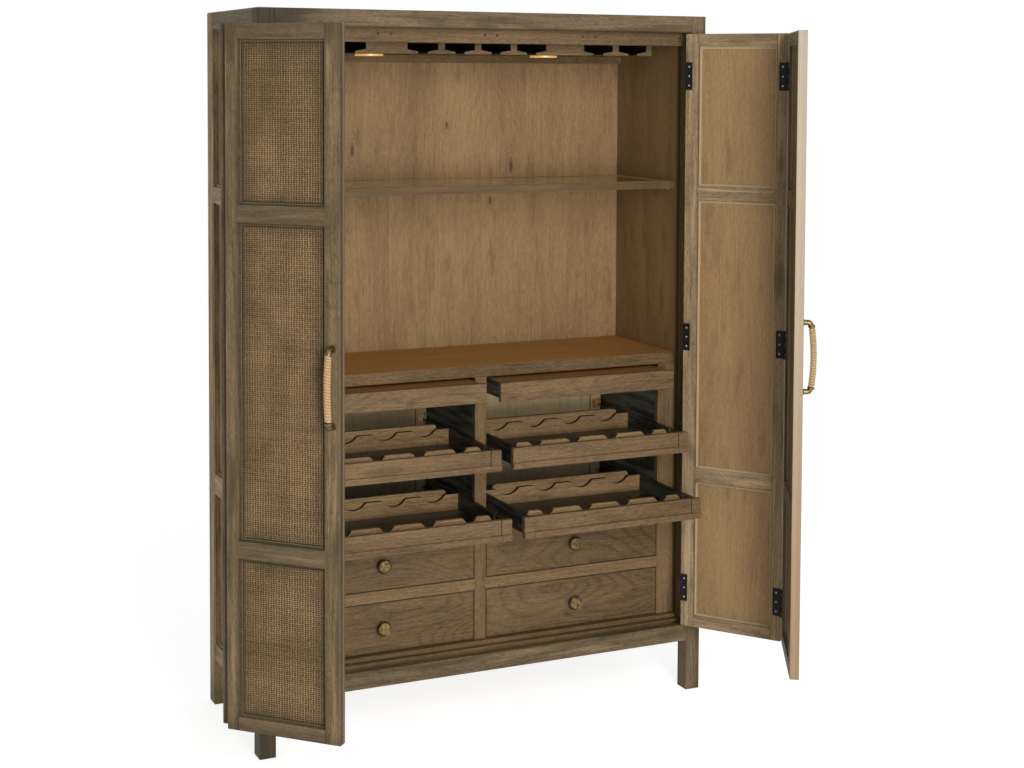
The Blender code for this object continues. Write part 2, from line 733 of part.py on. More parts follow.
def build_counter():
    half = INNER_X - FIT
    z = (COUNTER_BOTTOM, COUNTER_BOTTOM + COUNTER_THICKNESS)
    return box("counter_board", (-half, half), (FACE_FRONT, BAY_BACK), z, COUNTER_WOOD,
               edge=EDGE_ROUND)


def build_upper_stop():
    half = INNER_X - FIT
    y = (STOP_FRONT, STOP_FRONT + STOP_THICKNESS)
    return box("upper_stop_rail", (-half, half), y, (UPPER_STOP_BOTTOM, TOP_UNDERSIDE - FIT), OAK,
               edge=EDGE_ROUND)


def build_shelf():
    """A wooden frame with a rebate, and the glass that lies in it."""
    half = INNER_X - 2 * FIT
    y = (SHELF_FRONT, BAY_BACK)
    z = (SHELF_BOTTOM, SHELF_BOTTOM + SHELF_THICKNESS)
    inner_x = half - SHELF_BORDER
    inner_y = (y[0] + SHELF_BORDER, y[1] - SHELF_BORDER)
    loops = [rectangle((-half, half), y), rectangle((-inner_x, inner_x), inner_y)]
    frame = outline("shelf_frame", loops, "XY", z, OAK)
    rest = inner_x + SHELF_REBATE
    rest_y = (inner_y[0] - SHELF_REBATE, inner_y[1] + SHELF_REBATE)
    depth = GLASS_THICKNESS + FIT
    cut(frame, box("shelf_rebate", (-rest, rest), rest_y, (z[1] - depth, z[1] + depth), tool=True))
    glass_x = rest - FIT
    glass = box("shelf_glass", (-glass_x, glass_x), (rest_y[0] + FIT, rest_y[1] - FIT),
                (z[1] - GLASS_THICKNESS, z[1]), GLASS)
    return [frame, glass]


def stemware_elements():
    """Stems and blocks from left to right: place, half width, flange on its left and right."""
    right = [(place, STEM_HALF, True, True) for place in STEM_PLACES if place > 0]
    right.append((LIGHT_BLOCK_PLACE, LIGHT_BLOCK_HALF, True, True))
    right.append((END_BLOCK_PLACE, END_BLOCK_HALF, True, False))
    left = [(-place, half, second, first) for place, half, first, second in right]
    middle = [(place, STEM_HALF, True, True) for place in STEM_PLACES if place == 0]
    return sorted(left + middle + right)


def tee_section(place, half, on_left, on_right, top):
    """One stem or block with its sloping flanges, up to a height inside the plate."""
    root = STEM_BOTTOM + FLANGE_ROOT
    tip = STEM_BOTTOM + FLANGE_TIP
    loop = []
    for way, flanged in ((1, on_right), (-1, on_left)):
        near = place + way * half
        far = near + way * FLANGE_REACH
        edge = [(near, top), (near, root), (far, tip), (far, STEM_BOTTOM)]
        if not flanged:
            edge = [(near, top), (near, STEM_BOTTOM)]
        loop += edge if way > 0 else list(reversed(edge))
    return loop


def build_stemware_rack():
    """Inverted tees under a plate, which hold glasses by the foot, with a cleat at the back."""
    top = TOP_UNDERSIDE - FIT
    half = END_BLOCK_PLACE + END_BLOCK_HALF + FIT
    cleat_front = BAY_BACK - CLEAT_THICKNESS
    back = cleat_front + CLEAT_THICKNESS / 2
    plate_y = (STEM_FRONT + EDGE_ROUND, back)
    rack = box("stemware_rack", (-half, half), plate_y, (top - STEM_PLATE, top), OAK)
    tees = [tee_section(*element, top - STEM_PLATE / 2) for element in stemware_elements()]
    join(rack, outline("stemware_tees", tees, "XZ", (STEM_FRONT, back - FIT), tool=True))
    half = INNER_X - FIT
    join(rack, box("stemware_cleat", (-half, half), (cleat_front, BAY_BACK), (CLEAT_BOTTOM, top - FIT),
                   tool=True))
    return rack


def build_light(side):
    """A round puck light under a wide block, with a domed lens."""
    profile = [
        (0.0, 0.0), (LIGHT_RADIUS, 0.0), (LIGHT_RADIUS, -LIGHT_SKIRT),
        (LENS_RADIUS, -LENS_DEPTH), (LENS_RADIUS * 0.6, -LENS_CROWN), (0.0, -LIGHT_HEIGHT),
    ]
    light = turned(side + "_light", profile, LIGHT_METAL)
    light.location = (LIGHT_BLOCK_PLACE * SIDES[side], LIGHT_SETBACK, STEM_BOTTOM - FIT)
    return smooth(light)


# Drawers, racks and trays

def carrier_section(side_start, side_end, floor, level):
    """A channel section with a slide bar on each side; the floor lies at the starting edge."""
    way = 1 if side_end > side_start else -1
    bar = BAY_HALF - SLIDE_METAL - SLIDE_PLAY
    half_bar = SLIDE_HEIGHT / 2 - SLIDE_METAL - FIT
    inner = CARRIER_HALF - DRAWER_WALL
    right = [
        (CARRIER_HALF, side_start),
        (CARRIER_HALF, level - way * half_bar), (bar, level - way * half_bar),
        (bar, level + way * half_bar), (CARRIER_HALF, level + way * half_bar),
        (CARRIER_HALF, side_end), (inner, side_end), (inner, side_start + way * floor),
    ]
    return right + [(-x, z) for x, z in reversed(right)]


def shifted(loop, x):
    return [(x + across, up) for across, up in loop]


def place_across(span, side):
    """Move a span across the bay's middle to the left or right bay."""
    middle = BAY_MIDDLE * SIDES[side]
    return (middle + span[0], middle + span[1])


def build_drawer(side, row, z):
    """An inset drawer: front board, box with an open top, and its slide bars."""
    name = "%s_%s_drawer" % (side, row)
    half = BAY_HALF - CARRIER_SIDE_GAP
    front_back = FACE_FRONT + CARRIER_FRONT
    drawer = box(name, place_across((-half, half), side), (FACE_FRONT, front_back),
                 (z, z + DRAWER_FRONT), OAK, edge=EDGE_ROUND)
    low = z + DRAWER_DROP
    high = low + DRAWER_SIDE
    back = FACE_FRONT + DRAWER_LENGTH
    section = carrier_section(low, high, DRAWER_FLOOR, z + DRAWER_SLIDE)
    section = shifted(section, BAY_MIDDLE * SIDES[side])
    join(drawer, outline(name + "_box", [section], "XZ", (front_back - EDGE_ROUND * 2, back), tool=True))
    inner = CARRIER_HALF - DRAWER_WALL / 2
    join(drawer, box(name + "_back", place_across((-inner, inner), side), (back - DRAWER_WALL, back - FIT),
                     (low + FIT, high - DRAWER_WALL), tool=True))
    return drawer


def build_knob(side, row, z):
    """A turned knob on a drawer front, with a rosette, a neck and a rounded head."""
    profile = [(KNOB_RADIUS * wide, KNOB_REACH * out) for wide, out in KNOB_FORM]
    knob = turned("%s_%s_knob" % (side, row), profile, BRASS, steps=16)
    knob.rotation_euler = (math.pi / 2, 0.0, 0.0)
    knob.location = (BAY_MIDDLE * SIDES[side], FACE_FRONT - FIT, z + DRAWER_FRONT / 2)
    return smooth(knob)


def bottle_places():
    return [(number - (BOTTLES - 1) / 2) * BOTTLE_PITCH for number in range(BOTTLES)]


def neck_board_loop(low, top):
    """The board behind the front, with a round notch for each bottle's neck."""
    loop = [(-NECK_BOARD_HALF, low), (NECK_BOARD_HALF, low), (NECK_BOARD_HALF, top)]
    for place in reversed(bottle_places()):
        loop += arc((place, top), NECK_RADIUS, 0.0, -180.0, 6)
    loop.append((-NECK_BOARD_HALF, top))
    return loop


def body_board_loop(low, top):
    """The board further back, whose waved edge cradles each bottle's body."""
    loop = [(-BODY_BOARD_HALF, low), (BODY_BOARD_HALF, low)]
    steps = 32
    for step in range(steps + 1):
        x = BODY_BOARD_HALF - 2 * BODY_BOARD_HALF * step / steps
        phase = 2 * math.pi * (x - BOTTLE_PITCH / 2) / BOTTLE_PITCH
        dip = (0.5 + 0.5 * math.cos(phase)) ** 1.5
        loop.append((x, top - BODY_CRADLE * dip))
    return loop


def rear_board_loop(low, top):
    """The straight board at the back, with rounded upper corners."""
    half = REAR_BOARD_HALF
    corner = REAR_CORNER
    loop = [(-half, low), (half, low)]
    loop += arc((half - corner, top - corner), corner, 0.0, 90.0, 4)
    loop += arc((-half + corner, top - corner), corner, 90.0, 180.0, 4)
    return loop


def build_rack(side, row, z):
    """A pull-out wine rack for bottles that lie with their necks to the front."""
    name = "%s_%s_rack" % (side, row)
    half = BAY_HALF - CARRIER_SIDE_GAP
    front_back = FACE_FRONT + CARRIER_FRONT
    profile = [
        (FACE_FRONT - RACK_LEDGE, z), (front_back, z), (front_back, z + RACK_FRONT),
        (FACE_FRONT, z + RACK_FRONT), (FACE_FRONT, z + RACK_LEDGE_HEIGHT),
        (FACE_FRONT - RACK_LEDGE, z + RACK_LEDGE_HEIGHT),
    ]
    rack = outline(name, [profile], "YZ", place_across((-half, half), side), OAK)
    board = half - RACK_BLOCK
    cut(rack, box(name + "_recess", place_across((-board, board), side),
                  (FACE_FRONT - RACK_LEDGE * 2, FACE_FRONT + RACK_RECESS),
                  (z + RACK_LEDGE_HEIGHT, z + RACK_FRONT + RACK_RECESS), tool=True))
    low = z + RACK_LIFT
    section = carrier_section(low, low + RACK_SIDE, RACK_FLOOR, z + RACK_SLIDE)
    section = shifted(section, BAY_MIDDLE * SIDES[side])
    body_span = (front_back - RACK_RECESS, FACE_FRONT + RACK_LENGTH)
    join(rack, outline(name + "_body", [section], "XZ", body_span, tool=True))
    boards = (
        ("neck", neck_board_loop(low + RACK_FLOOR / 2, z + NECK_BOARD_TOP), NECK_BOARD_BACK),
        ("cradle", body_board_loop(low + RACK_FLOOR / 2, z + BODY_BOARD_TOP), BODY_BOARD_BACK),
        ("rear", rear_board_loop(low + RACK_FLOOR / 2, z + BODY_BOARD_TOP), REAR_BOARD_BACK),
    )
    for label, loop, setback in boards:
        span = (FACE_FRONT + setback, FACE_FRONT + setback + RACK_BOARD)
        loop = shifted(loop, BAY_MIDDLE * SIDES[side])
        join(rack, outline("%s_%s" % (name, label), [loop], "XZ", span, tool=True))
    return rack


def build_tray(side):
    """A pull-out tray under the counter: front board, top and low sides on slides."""
    name = side + "_tray"
    half = BAY_HALF - CARRIER_SIDE_GAP
    front_back = FACE_FRONT + CARRIER_FRONT
    tray = box(name, place_across((-half, half), side), (FACE_FRONT, front_back),
               (TRAY_Z - TRAY_FRONT, TRAY_Z), OAK, edge=EDGE_ROUND)
    top = TRAY_Z - TRAY_TOP_STEP
    section = carrier_section(top, top - TRAY_SIDE, TRAY_TOP, TRAY_Z - TRAY_SLIDE)
    section = shifted(section, BAY_MIDDLE * SIDES[side])
    span = (front_back - EDGE_ROUND * 2, FACE_FRONT + TRAY_LENGTH)
    join(tray, outline(name + "_body", [section], "XZ", span, tool=True))
    return tray


# Door leaves

def leaf_windows():
    """The three openings of a leaf, from the bottom rail to the top rail."""
    edges = [DOOR_BOTTOM + DOOR_BOTTOM_RAIL, *DOOR_LOW_RAIL, *DOOR_HIGH_RAIL, DOOR_TOP - DOOR_TOP_RAIL]
    return list(zip(edges[0::2], edges[1::2]))


def build_leaf(side, kind):
    """A door leaf's frame, and the panel that runs in its grooves behind the cross rails."""
    sign = SIDES[side]
    name = "%s_%s_leaf" % (side, kind)
    if kind == "side":
        x = (LEAF_EDGE - LEAF_WIDTH, LEAF_EDGE)
        opening = (x[0] + FOLD_STILE, x[1] - OUTER_STILE)
    else:
        x = (CENTRE_GAP / 2, CENTRE_GAP / 2 + LEAF_WIDTH)
        opening = (x[0] + OUTER_STILE, x[1] - FOLD_STILE)
    frame = box(name + "_frame", mirrored(x, sign), (DOOR_SETBACK, DOOR_INNER_FACE),
                (DOOR_BOTTOM, DOOR_TOP), OAK, edge=DOOR_EDGE)
    panel_front = DOOR_SETBACK + PANEL_DEPTH
    groove = (panel_front - FIT, panel_front + PANEL_THICKNESS + FIT)
    beads = (groove[0] - DOOR_BEAD_DEPTH, groove[1] + DOOR_BEAD_DEPTH)
    outside = ((DOOR_SETBACK - DOOR_THICKNESS, beads[0]), (beads[1], DOOR_INNER_FACE + DOOR_THICKNESS))
    for number, (low, high) in enumerate(leaf_windows()):
        for face, y in enumerate(outside):
            cut(frame, box("%s_recess_%d_%d" % (name, number, face), mirrored(opening, sign), y,
                           (low, high), tool=True))
        inner = (opening[0] + DOOR_BEAD, opening[1] - DOOR_BEAD)
        cut(frame, box("%s_window_%d" % (name, number), mirrored(inner, sign),
                       (beads[0] - FIT, beads[1] + FIT), (low + DOOR_BEAD, high - DOOR_BEAD), tool=True))
    windows = leaf_windows()
    pocket_x = (opening[0] - PANEL_GROOVE, opening[1] + PANEL_GROOVE)
    pocket_z = (windows[0][0] - PANEL_GROOVE, windows[-1][1] + PANEL_GROOVE)
    cut(frame, box(name + "_groove", mirrored(pocket_x, sign), groove, pocket_z, tool=True))
    panel = box(name + "_panel", mirrored((pocket_x[0] + FIT, pocket_x[1] - FIT), sign),
                (panel_front, panel_front + PANEL_THICKNESS), (pocket_z[0] + FIT, pocket_z[1] - FIT), WOVEN)
    return [frame, panel]


# Handles

def handle_curve(along):
    """A place on the handle's arched centre line, and its direction, at an arc length."""
    half_chord = HANDLE_CENTRES / 2
    radius = (half_chord ** 2 + HANDLE_RISE ** 2) / (2 * HANDLE_RISE)
    angle = along / radius
    out = HANDLE_STANDOFF + HANDLE_RISE - radius * (1 - math.cos(angle))
    place = Vector((0.0, -out, radius * math.sin(angle)))
    direction = Vector((0.0, math.sin(angle), math.cos(angle)))
    return place, direction


def handle_half_length():
    """The arc length from mid-span to the centre of an end ball."""
    half_chord = HANDLE_CENTRES / 2
    radius = (half_chord ** 2 + HANDLE_RISE ** 2) / (2 * HANDLE_RISE)
    return radius * math.asin(half_chord / radius)


def collar_face():
    """The arc length from mid-span to the collar face that the rope meets."""
    return handle_half_length() - COLLAR_INSET - COLLAR_LENGTH


def handle_origin(sign):
    return Vector(((CENTRE_GAP / 2 + HANDLE_EDGE) * sign, DOOR_SETBACK, HANDLE_HEIGHT))


def tube(name, points, radius, resolution, material=None, tool=False):
    """A round tube with filled ends through points."""
    curve = bpy.data.curves.new(name, "CURVE")
    curve.dimensions = "3D"
    curve.bevel_depth = radius
    curve.bevel_resolution = resolution
    curve.use_fill_caps = True
    spline = curve.splines.new("POLY")
    spline.points.add(len(points) - 1)
    for point, place in zip(spline.points, points):
        point.co = (*place, 1.0)
    drawing = bpy.data.objects.new(name + "_drawing", curve)
    CUTTERS.objects.link(drawing)
    bpy.context.view_layer.update()
    return curve_to_mesh(drawing, name, material, tool)


def build_handle_bar(side):
    """Two turned ends with collars, and the arched core rod that carries the rope."""
    sign = SIDES[side]
    name = side + "_handle_bar"
    origin = handle_origin(sign)
    steps = 8
    reach = handle_half_length()
    points = [handle_curve(reach * (2 * i / steps - 1))[0] for i in range(steps + 1)]
    bar = tube(name, points, HANDLE_CORE, 2, BRASS)
    bar.location = origin
    ball = arc((0.0, HANDLE_STANDOFF), HANDLE_BALL, 90.0, -60.0, 5)
    profile = [(0.0, HANDLE_STANDOFF + HANDLE_BALL)] + ball[1:] + [
        (HANDLE_STEM, HANDLE_STANDOFF / 2), (HANDLE_STEM, HANDLE_FOOT_RISE),
        (HANDLE_FOOT, HANDLE_FOOT_EDGE), (HANDLE_FOOT, FIT), (0.0, FIT),
    ]
    for place, way in (("upper", 1), ("lower", -1)):
        end = turned("%s_%s_end" % (name, place), profile, tool=True, steps=12)
        end.rotation_euler = (math.pi / 2, 0.0, 0.0)
        end.location = origin + Vector((0.0, 0.0, way * HANDLE_CENTRES / 2))
        join(bar, end)
        middle = collar_face() + COLLAR_LENGTH / 2 + FIT
        centre, direction = handle_curve(way * middle)
        collar = cylinder("%s_%s_collar" % (name, place), COLLAR_RADIUS, COLLAR_LENGTH + 2 * FIT,
                          origin + centre, tool=True)
        collar.rotation_euler = direction.to_track_quat("Z", "Y").to_euler()
        join(bar, collar)
    return bar


def rope_path():
    """The winding as (length along the handle, angle) pairs: straight, bend, loops, bend, straight."""
    radius = HANDLE_CORE + FIT + ROPE_RADIUS
    limit = collar_face() - FIT
    along = -limit + 2 * ROPE_RADIUS
    angle = 0.0
    lead = [(-limit, angle), (along, angle)]
    steepest = math.radians(ROPE_STEEPEST)
    stride = ROPE_BEND * steepest / ROPE_BEND_STEPS
    for step in range(ROPE_BEND_STEPS):
        tilt = steepest * (step + 0.5) / ROPE_BEND_STEPS
        along += stride * math.cos(tilt)
        angle += stride * math.sin(tilt) / radius
        lead.append((along, angle))
    total = ROPE_LOOPS * 2 * math.pi
    count = ROPE_LOOPS * ROPE_POINTS
    loops = [(along - 2 * along * step / count, angle + total * step / count) for step in range(1, count)]
    tail = [(-place, total + 2 * angle - turn) for place, turn in reversed(lead)]
    return lead + loops + tail


def build_rope_grip(side):
    """One strand wound round the core rod from collar to collar."""
    sign = SIDES[side]
    radius = HANDLE_CORE + FIT + ROPE_RADIUS
    points = []
    for along, angle in rope_path():
        place, direction = handle_curve(along)
        across = Vector((1.0, 0.0, 0.0))
        outward = direction.cross(across)
        points.append(place + radius * (math.cos(angle) * across * sign + math.sin(angle) * outward))
    grip = tube(side + "_rope_grip", points, ROPE_RADIUS, 1, ROPE)
    grip.location = handle_origin(sign)
    print("%s rope: least gap to itself %.2f mm" % (side, 1000 * least_gap(points)))
    return smooth(grip, 60.0)


def least_gap(points):
    """The least gap between stretches of the strand that are at least half a loop apart."""
    apart = ROPE_POINTS // 2
    least = min(
        (points[i] - points[j]).length
        for i in range(len(points))
        for j in range(i + apart, min(len(points), i + 3 * ROPE_POINTS))
    )
    return least - 2 * ROPE_RADIUS


# Bodies and their joints

def new_joint(name, place, parent=None):
    """An empty on a joint's axis, with the cabinet shut."""
    joint = bpy.data.objects.new(name, None)
    PARTS.objects.link(joint)
    joint.location = place
    if parent is not None:
        joint.parent = parent
        joint.matrix_parent_inverse = Matrix.Translation(-Vector(parent["shut_place"]))
    joint["shut_place"] = tuple(place)
    return joint


def attach(pieces, joint):
    """Hang pieces on a joint's empty without moving them."""
    for piece in pieces:
        piece.parent = joint
        piece.matrix_parent_inverse = Matrix.Translation(-Vector(joint["shut_place"]))


def build_doors(side, cabinet):
    """Both leaves of one side with their hinges, handle and rope, posed at their joints."""
    sign = SIDES[side]
    post_joint = new_joint(side + "_post_axis", (POST_AXIS.x * sign, POST_AXIS.y, 0.0), cabinet)
    fold_joint = new_joint(side + "_fold_axis", (FOLD_AXIS.x * sign, FOLD_AXIS.y, 0.0), post_joint)
    side_leaf = build_leaf(side, "side")
    for place, height in HINGE_PLACES:
        fold_wing(side_leaf[0], "%s_fold_%s_wing" % (side, place), sign, height)
        side_leaf.append(post_hinge("%s_post_hinge_%s" % (side, place), sign, height))
    centre_leaf = build_leaf(side, "centre")
    for place, height in HINGE_PLACES:
        centre_leaf.append(fold_hinge("%s_fold_hinge_%s" % (side, place), sign, height))
    centre_leaf += [build_handle_bar(side), build_rope_grip(side)]
    attach(side_leaf, post_joint)
    attach(centre_leaf, fold_joint)
    post_joint.rotation_euler.z = sign * math.radians(POST_ANGLE[side])
    fold_joint.rotation_euler.z = -sign * math.radians(FOLD_ANGLE[side])


def build_carriers(side, cabinet):
    """The tray, racks and drawers of one bay, each drawn out by its own length."""
    centre = BAY_MIDDLE * SIDES[side]
    racks = (("upper", UPPER_RACK_Z, UPPER_RACK_DRAWN), ("lower", LOWER_RACK_Z, LOWER_RACK_DRAWN))
    drawers = (("upper", UPPER_DRAWER_Z), ("lower", LOWER_DRAWER_Z))
    moving = [(side + "_tray", TRAY_Z, TRAY_DRAWN[side], [build_tray(side)])]
    for row, z, drawn in racks:
        moving.append(("%s_%s_rack" % (side, row), z, drawn[side], [build_rack(side, row, z)]))
    for row, z in drawers:
        pieces = [build_drawer(side, row, z), build_knob(side, row, z)]
        moving.append(("%s_%s_drawer" % (side, row), z, 0.0, pieces))
    for name, z, drawn, pieces in moving:
        joint = new_joint(name + "_slide", (centre, FACE_FRONT, z), cabinet)
        attach(pieces, joint)
        joint.location.y -= drawn


def build_cabinet():
    """The whole cabinet, with its origin at the middle of the front left foot's underside."""
    cabinet = new_joint("bar_cabinet_origin", (0.0, 0.0, 0.0))
    fixed = build_posts() + build_front_rails() + build_shelf()
    fixed += [build_top_panel(), build_back(), build_bottom_board(), build_face_frame()]
    fixed += [build_divider(), build_counter(), build_upper_stop(), build_stemware_rack()]
    for side in SIDES:
        fixed += [build_side(side), build_inner_side(side), build_light(side)]
    attach(fixed, cabinet)
    for side in SIDES:
        build_doors(side, cabinet)
        build_carriers(side, cabinet)
    cabinet.location = (WIDTH / 2 - POST_WIDTH / 2, -POST_DEPTH / 2, 0.0)
    bpy.context.view_layer.update()


build_cabinet()
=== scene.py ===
"""Bar cabinet: finishes, wine racks, lights, knobs, handles, small fittings and stage on its solids.

Places are worked out in cabinet coordinates with the doors shut and the racks pushed in:
X runs along the front with 0 at the middle, Y from the front rail back, Z up from the floor.
"""
import json
import math

import bmesh
import bpy
from mathutils import Matrix, Vector


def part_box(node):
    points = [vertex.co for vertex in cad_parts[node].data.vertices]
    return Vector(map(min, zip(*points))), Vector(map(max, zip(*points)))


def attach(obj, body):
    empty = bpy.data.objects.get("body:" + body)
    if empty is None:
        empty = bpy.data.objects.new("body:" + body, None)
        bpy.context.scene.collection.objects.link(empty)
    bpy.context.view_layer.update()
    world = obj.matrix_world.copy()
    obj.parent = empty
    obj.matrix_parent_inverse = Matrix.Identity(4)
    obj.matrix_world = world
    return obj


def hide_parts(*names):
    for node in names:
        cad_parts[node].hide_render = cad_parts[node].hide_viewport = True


bl_info = {
    "name": "Bar Cabinet",
    "version": (1, 0, 0),
    "blender": (4, 5, 0),
    "location": "View3D > Sidebar > Bar Cabinet",
    "description": "Finishes, fittings and stage for a bar cabinet with folding doors",
    "category": "Object",
}

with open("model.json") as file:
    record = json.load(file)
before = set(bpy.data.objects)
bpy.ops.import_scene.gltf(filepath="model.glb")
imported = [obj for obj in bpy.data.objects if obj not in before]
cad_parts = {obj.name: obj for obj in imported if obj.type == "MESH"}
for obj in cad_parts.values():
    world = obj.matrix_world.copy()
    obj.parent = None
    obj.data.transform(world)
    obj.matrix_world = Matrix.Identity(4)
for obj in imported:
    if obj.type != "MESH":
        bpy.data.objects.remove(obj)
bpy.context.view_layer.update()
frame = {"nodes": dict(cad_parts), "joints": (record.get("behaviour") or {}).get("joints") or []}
NODES = frame["nodes"]
JOINTS = {joint["name"]: joint for joint in frame["joints"]}
SIDES = {"left": -1, "right": 1}
ROWS = ("upper", "lower")
LEVELS = ("top", "middle", "bottom")


# Places taken from the solids

def middle_of(node):
    low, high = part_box(node)
    return (low + high) / 2


FIXED_WING = 0.004
LIGHT_GAP = 0.0003
CABINET_X = middle_of("front_top_rail").x
CABINET_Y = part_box("front_top_rail")[0].y
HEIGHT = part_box("post_front_left")[1].z
INNER_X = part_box("post_front_right")[0].x + FIXED_WING - CABINET_X
STOP_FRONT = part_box("upper_stop_rail")[0].y - CABINET_Y
STOP_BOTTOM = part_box("upper_stop_rail")[0].z
STEM_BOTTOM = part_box("left_light")[1].z + LIGHT_GAP
STEM_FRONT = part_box("stemware_rack")[0].y - CABINET_Y
FACE_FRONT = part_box("face_frame")[0].y - CABINET_Y
BACK_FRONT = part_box("back_panel")[0].y - CABINET_Y
COUNTER_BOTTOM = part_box("counter_board")[0].z
BAY_MIDDLE = middle_of("right_tray").x - CABINET_X
LOWER_BAY_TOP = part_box("right_upper_rack")[0].z
CARRIER_FRONT = 0.018
CARRIER_HALF = 0.2813
CARRIER_INNER = 0.2693

# Sizes of the doors with their hinges and handles, in metres
DOOR_INNER_FACE = 0.0395
PANEL_MIDDLE = 0.0263
FOLD_BEHIND_POST = 0.0355
STILES = {"side": (0.36475, 0.614), "centre": (0.0455, 0.29475)}
DOOR_BEADS = (0.0205, 0.0335)
DOOR_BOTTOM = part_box("left_side_leaf_frame")[0].z
DOOR_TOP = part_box("left_side_leaf_frame")[1].z
DOOR_WINDOWS = (
    (DOOR_BOTTOM + 0.036, 0.667),
    (0.712, HEIGHT - 0.563),
    (HEIGHT - 0.517, DOOR_TOP - 0.040),
)
HINGE_SCREW_SPREAD = 0.0285
HANDLE_CENTRES = 0.196
HANDLE_ACROSS = 0.0235
DOOR_FACE = 0.013
HANDLE_STANDOFF = 0.022
HANDLE_RISE = 0.008
HANDLE_BEND = 0.010
HANDLE_ROD = 0.0078
ROPE_HALF = 0.0845
HANDLE_FOOT = ((0.0, 0.0), (0.0102, 0.0), (0.0102, 0.0015), (0.0088, 0.0032), (0.0, 0.0034))
HANDLE_COLLAR = (
    (0.0, 0.0), (0.0092, 0.0), (0.0101, 0.0008), (0.0101, 0.0042), (0.0088, 0.0056), (0.0, 0.0058))
KNOB_FORM = (
    (0.0, 0.0), (0.56, 0.0), (0.56, 0.10), (0.36, 0.18), (0.34, 0.50), (0.86, 0.66), (0.99, 0.74),
    (1.0, 0.86), (0.97, 0.95), (0.90, 1.0), (0.84, 0.97), (0.80, 0.93), (0.0, 0.95))

# Racks: places of the boards behind the front's face, and levels above the front's lower edge
NECK_BOARD = (0.065, 0.077)
CRADLE_BOARD = (0.339, 0.3537)
REAR_BOARD = (0.3527, 0.3647)
RACK_FRONT = 0.061
RACK_LIFT = 0.006
RACK_FLOOR = 0.014
RACK_WALL = 0.0605
RACK_SLIDE = 0.031
RACK_LEDGE = 0.004
RACK_LEDGE_HEIGHT = 0.018
RACK_BLOCK = 0.032
RACK_RECESS = 0.003
FRONT_ARRIS = 0.0006
BOARD_ARRIS = 0.0005
RACK_SHADE = 0.250
BOTTLES = 4
BOTTLE_PITCH = 0.1265
NECK_HALF = 0.256
NECK_CORNER = 0.008
NECK_RADIUS = 0.019
NECK_DEPTH = 0.015
NECK_LIP = 0.005
CRADLE_TOP = 0.063
CRADLE_DEPTH = 0.0205
CRADLE_RADIUS = 0.042
CREST_RADIUS = 0.014
CRADLE_TENON = 0.002
NOTCH_ARC = (-25.0, -155.0)
NOTCH_STEPS = 12
TROUGH_STEPS = 16
CORNER_ARC_STEPS = 6
REAR_HALF = 0.234
REAR_TOP = 0.076
REAR_CORNER = 0.010
SLIDE_BAR = 0.292
SLIDE_BAR_HALF = 0.0157
TO_CABINET = Matrix.Translation((-CABINET_X, -CABINET_Y, 0.0))


def turn(angle, place):
    """A turn about an upright axis through a place."""
    place = Vector((place[0], place[1], 0.0))
    return Matrix.Translation(place) @ Matrix.Rotation(angle, 4, "Z") @ Matrix.Translation(-place)


def leaf_to_cabinet(side, kind):
    """Takes a leaf from where it stands to cabinet coordinates, as if it were shut."""
    sign = SIDES[side]
    post = Vector(JOINTS[side + "_post_hinge"]["pos_m"])
    fold = Vector(JOINTS[side + "_fold_hinge"]["pos_m"])
    shown = fold - post
    along = math.sqrt(shown.length_squared - FOLD_BEHIND_POST ** 2)
    swing = math.atan2(shown.y, shown.x) - math.atan2(FOLD_BEHIND_POST, -sign * along)
    shut = turn(-swing, post)
    if kind == "centre":
        folded = -math.radians(JOINTS[side + "_fold_hinge"]["range_deg"][0])
        shut = shut @ turn(sign * folded, fold)
    return TO_CABINET @ shut


def carrier_to_cabinet(name):
    """Takes a tray, rack or drawer to cabinet coordinates, as if it were pushed in."""
    drawn = -JOINTS[name + "_slide"]["range_m"][0]
    return Matrix.Translation((0.0, drawn, 0.0)) @ TO_CABINET


# Shader sockets as Python expressions

class Wire:
    """A shader socket that Python's operators extend with Math nodes."""

    def __init__(self, finish, socket):
        self.finish = finish
        self.socket = socket

    def maths(self, operation, *values):
        return self.finish.node("ShaderNodeMath", {"operation": operation}, dict(enumerate(values)))

    def __add__(self, other):
        return self.maths("ADD", self, other)

    def __radd__(self, other):
        return self.maths("ADD", other, self)

    def __sub__(self, other):
        return self.maths("SUBTRACT", self, other)

    def __rsub__(self, other):
        return self.maths("SUBTRACT", other, self)

    def __mul__(self, other):
        return self.maths("MULTIPLY", self, other)

    def __rmul__(self, other):
        return self.maths("MULTIPLY", other, self)

    def __truediv__(self, other):
        return self.maths("DIVIDE", self, other)

    def __pow__(self, other):
        return self.maths("POWER", self, other)

    def __gt__(self, other):
        return self.maths("GREATER_THAN", self, other)

    def __lt__(self, other):
        return self.maths("LESS_THAN", self, other)

    def __abs__(self):
        return self.maths("ABSOLUTE", self)

    def sine(self):
        return self.maths("SINE", self)

    def fraction(self):
        return self.maths("FRACT", self)

    def floor(self):
        return self.maths("FLOOR", self)

    def larger(self, other):
        return self.maths("MAXIMUM", self, other)

    def smaller(self, other):
        return self.maths("MINIMUM", self, other)

    def within(self, low, high):
        return (self > low) * (self < high)

    def ramp(self, low, high):
        """0 below low, 1 above high and smooth between them."""
        sockets = {"Value": self, "From Min": low, "From Max": high}
        return self.finish.node("ShaderNodeMapRange", {"interpolation_type": "SMOOTHSTEP"}, sockets)


def pick(sockets, key):
    """A socket by its number, or by its identifier or name."""
    if isinstance(key, int):
        return sockets[key]
    for socket in sockets:
        if socket.identifier == key or socket.name == key:
            return socket
    raise KeyError(key)


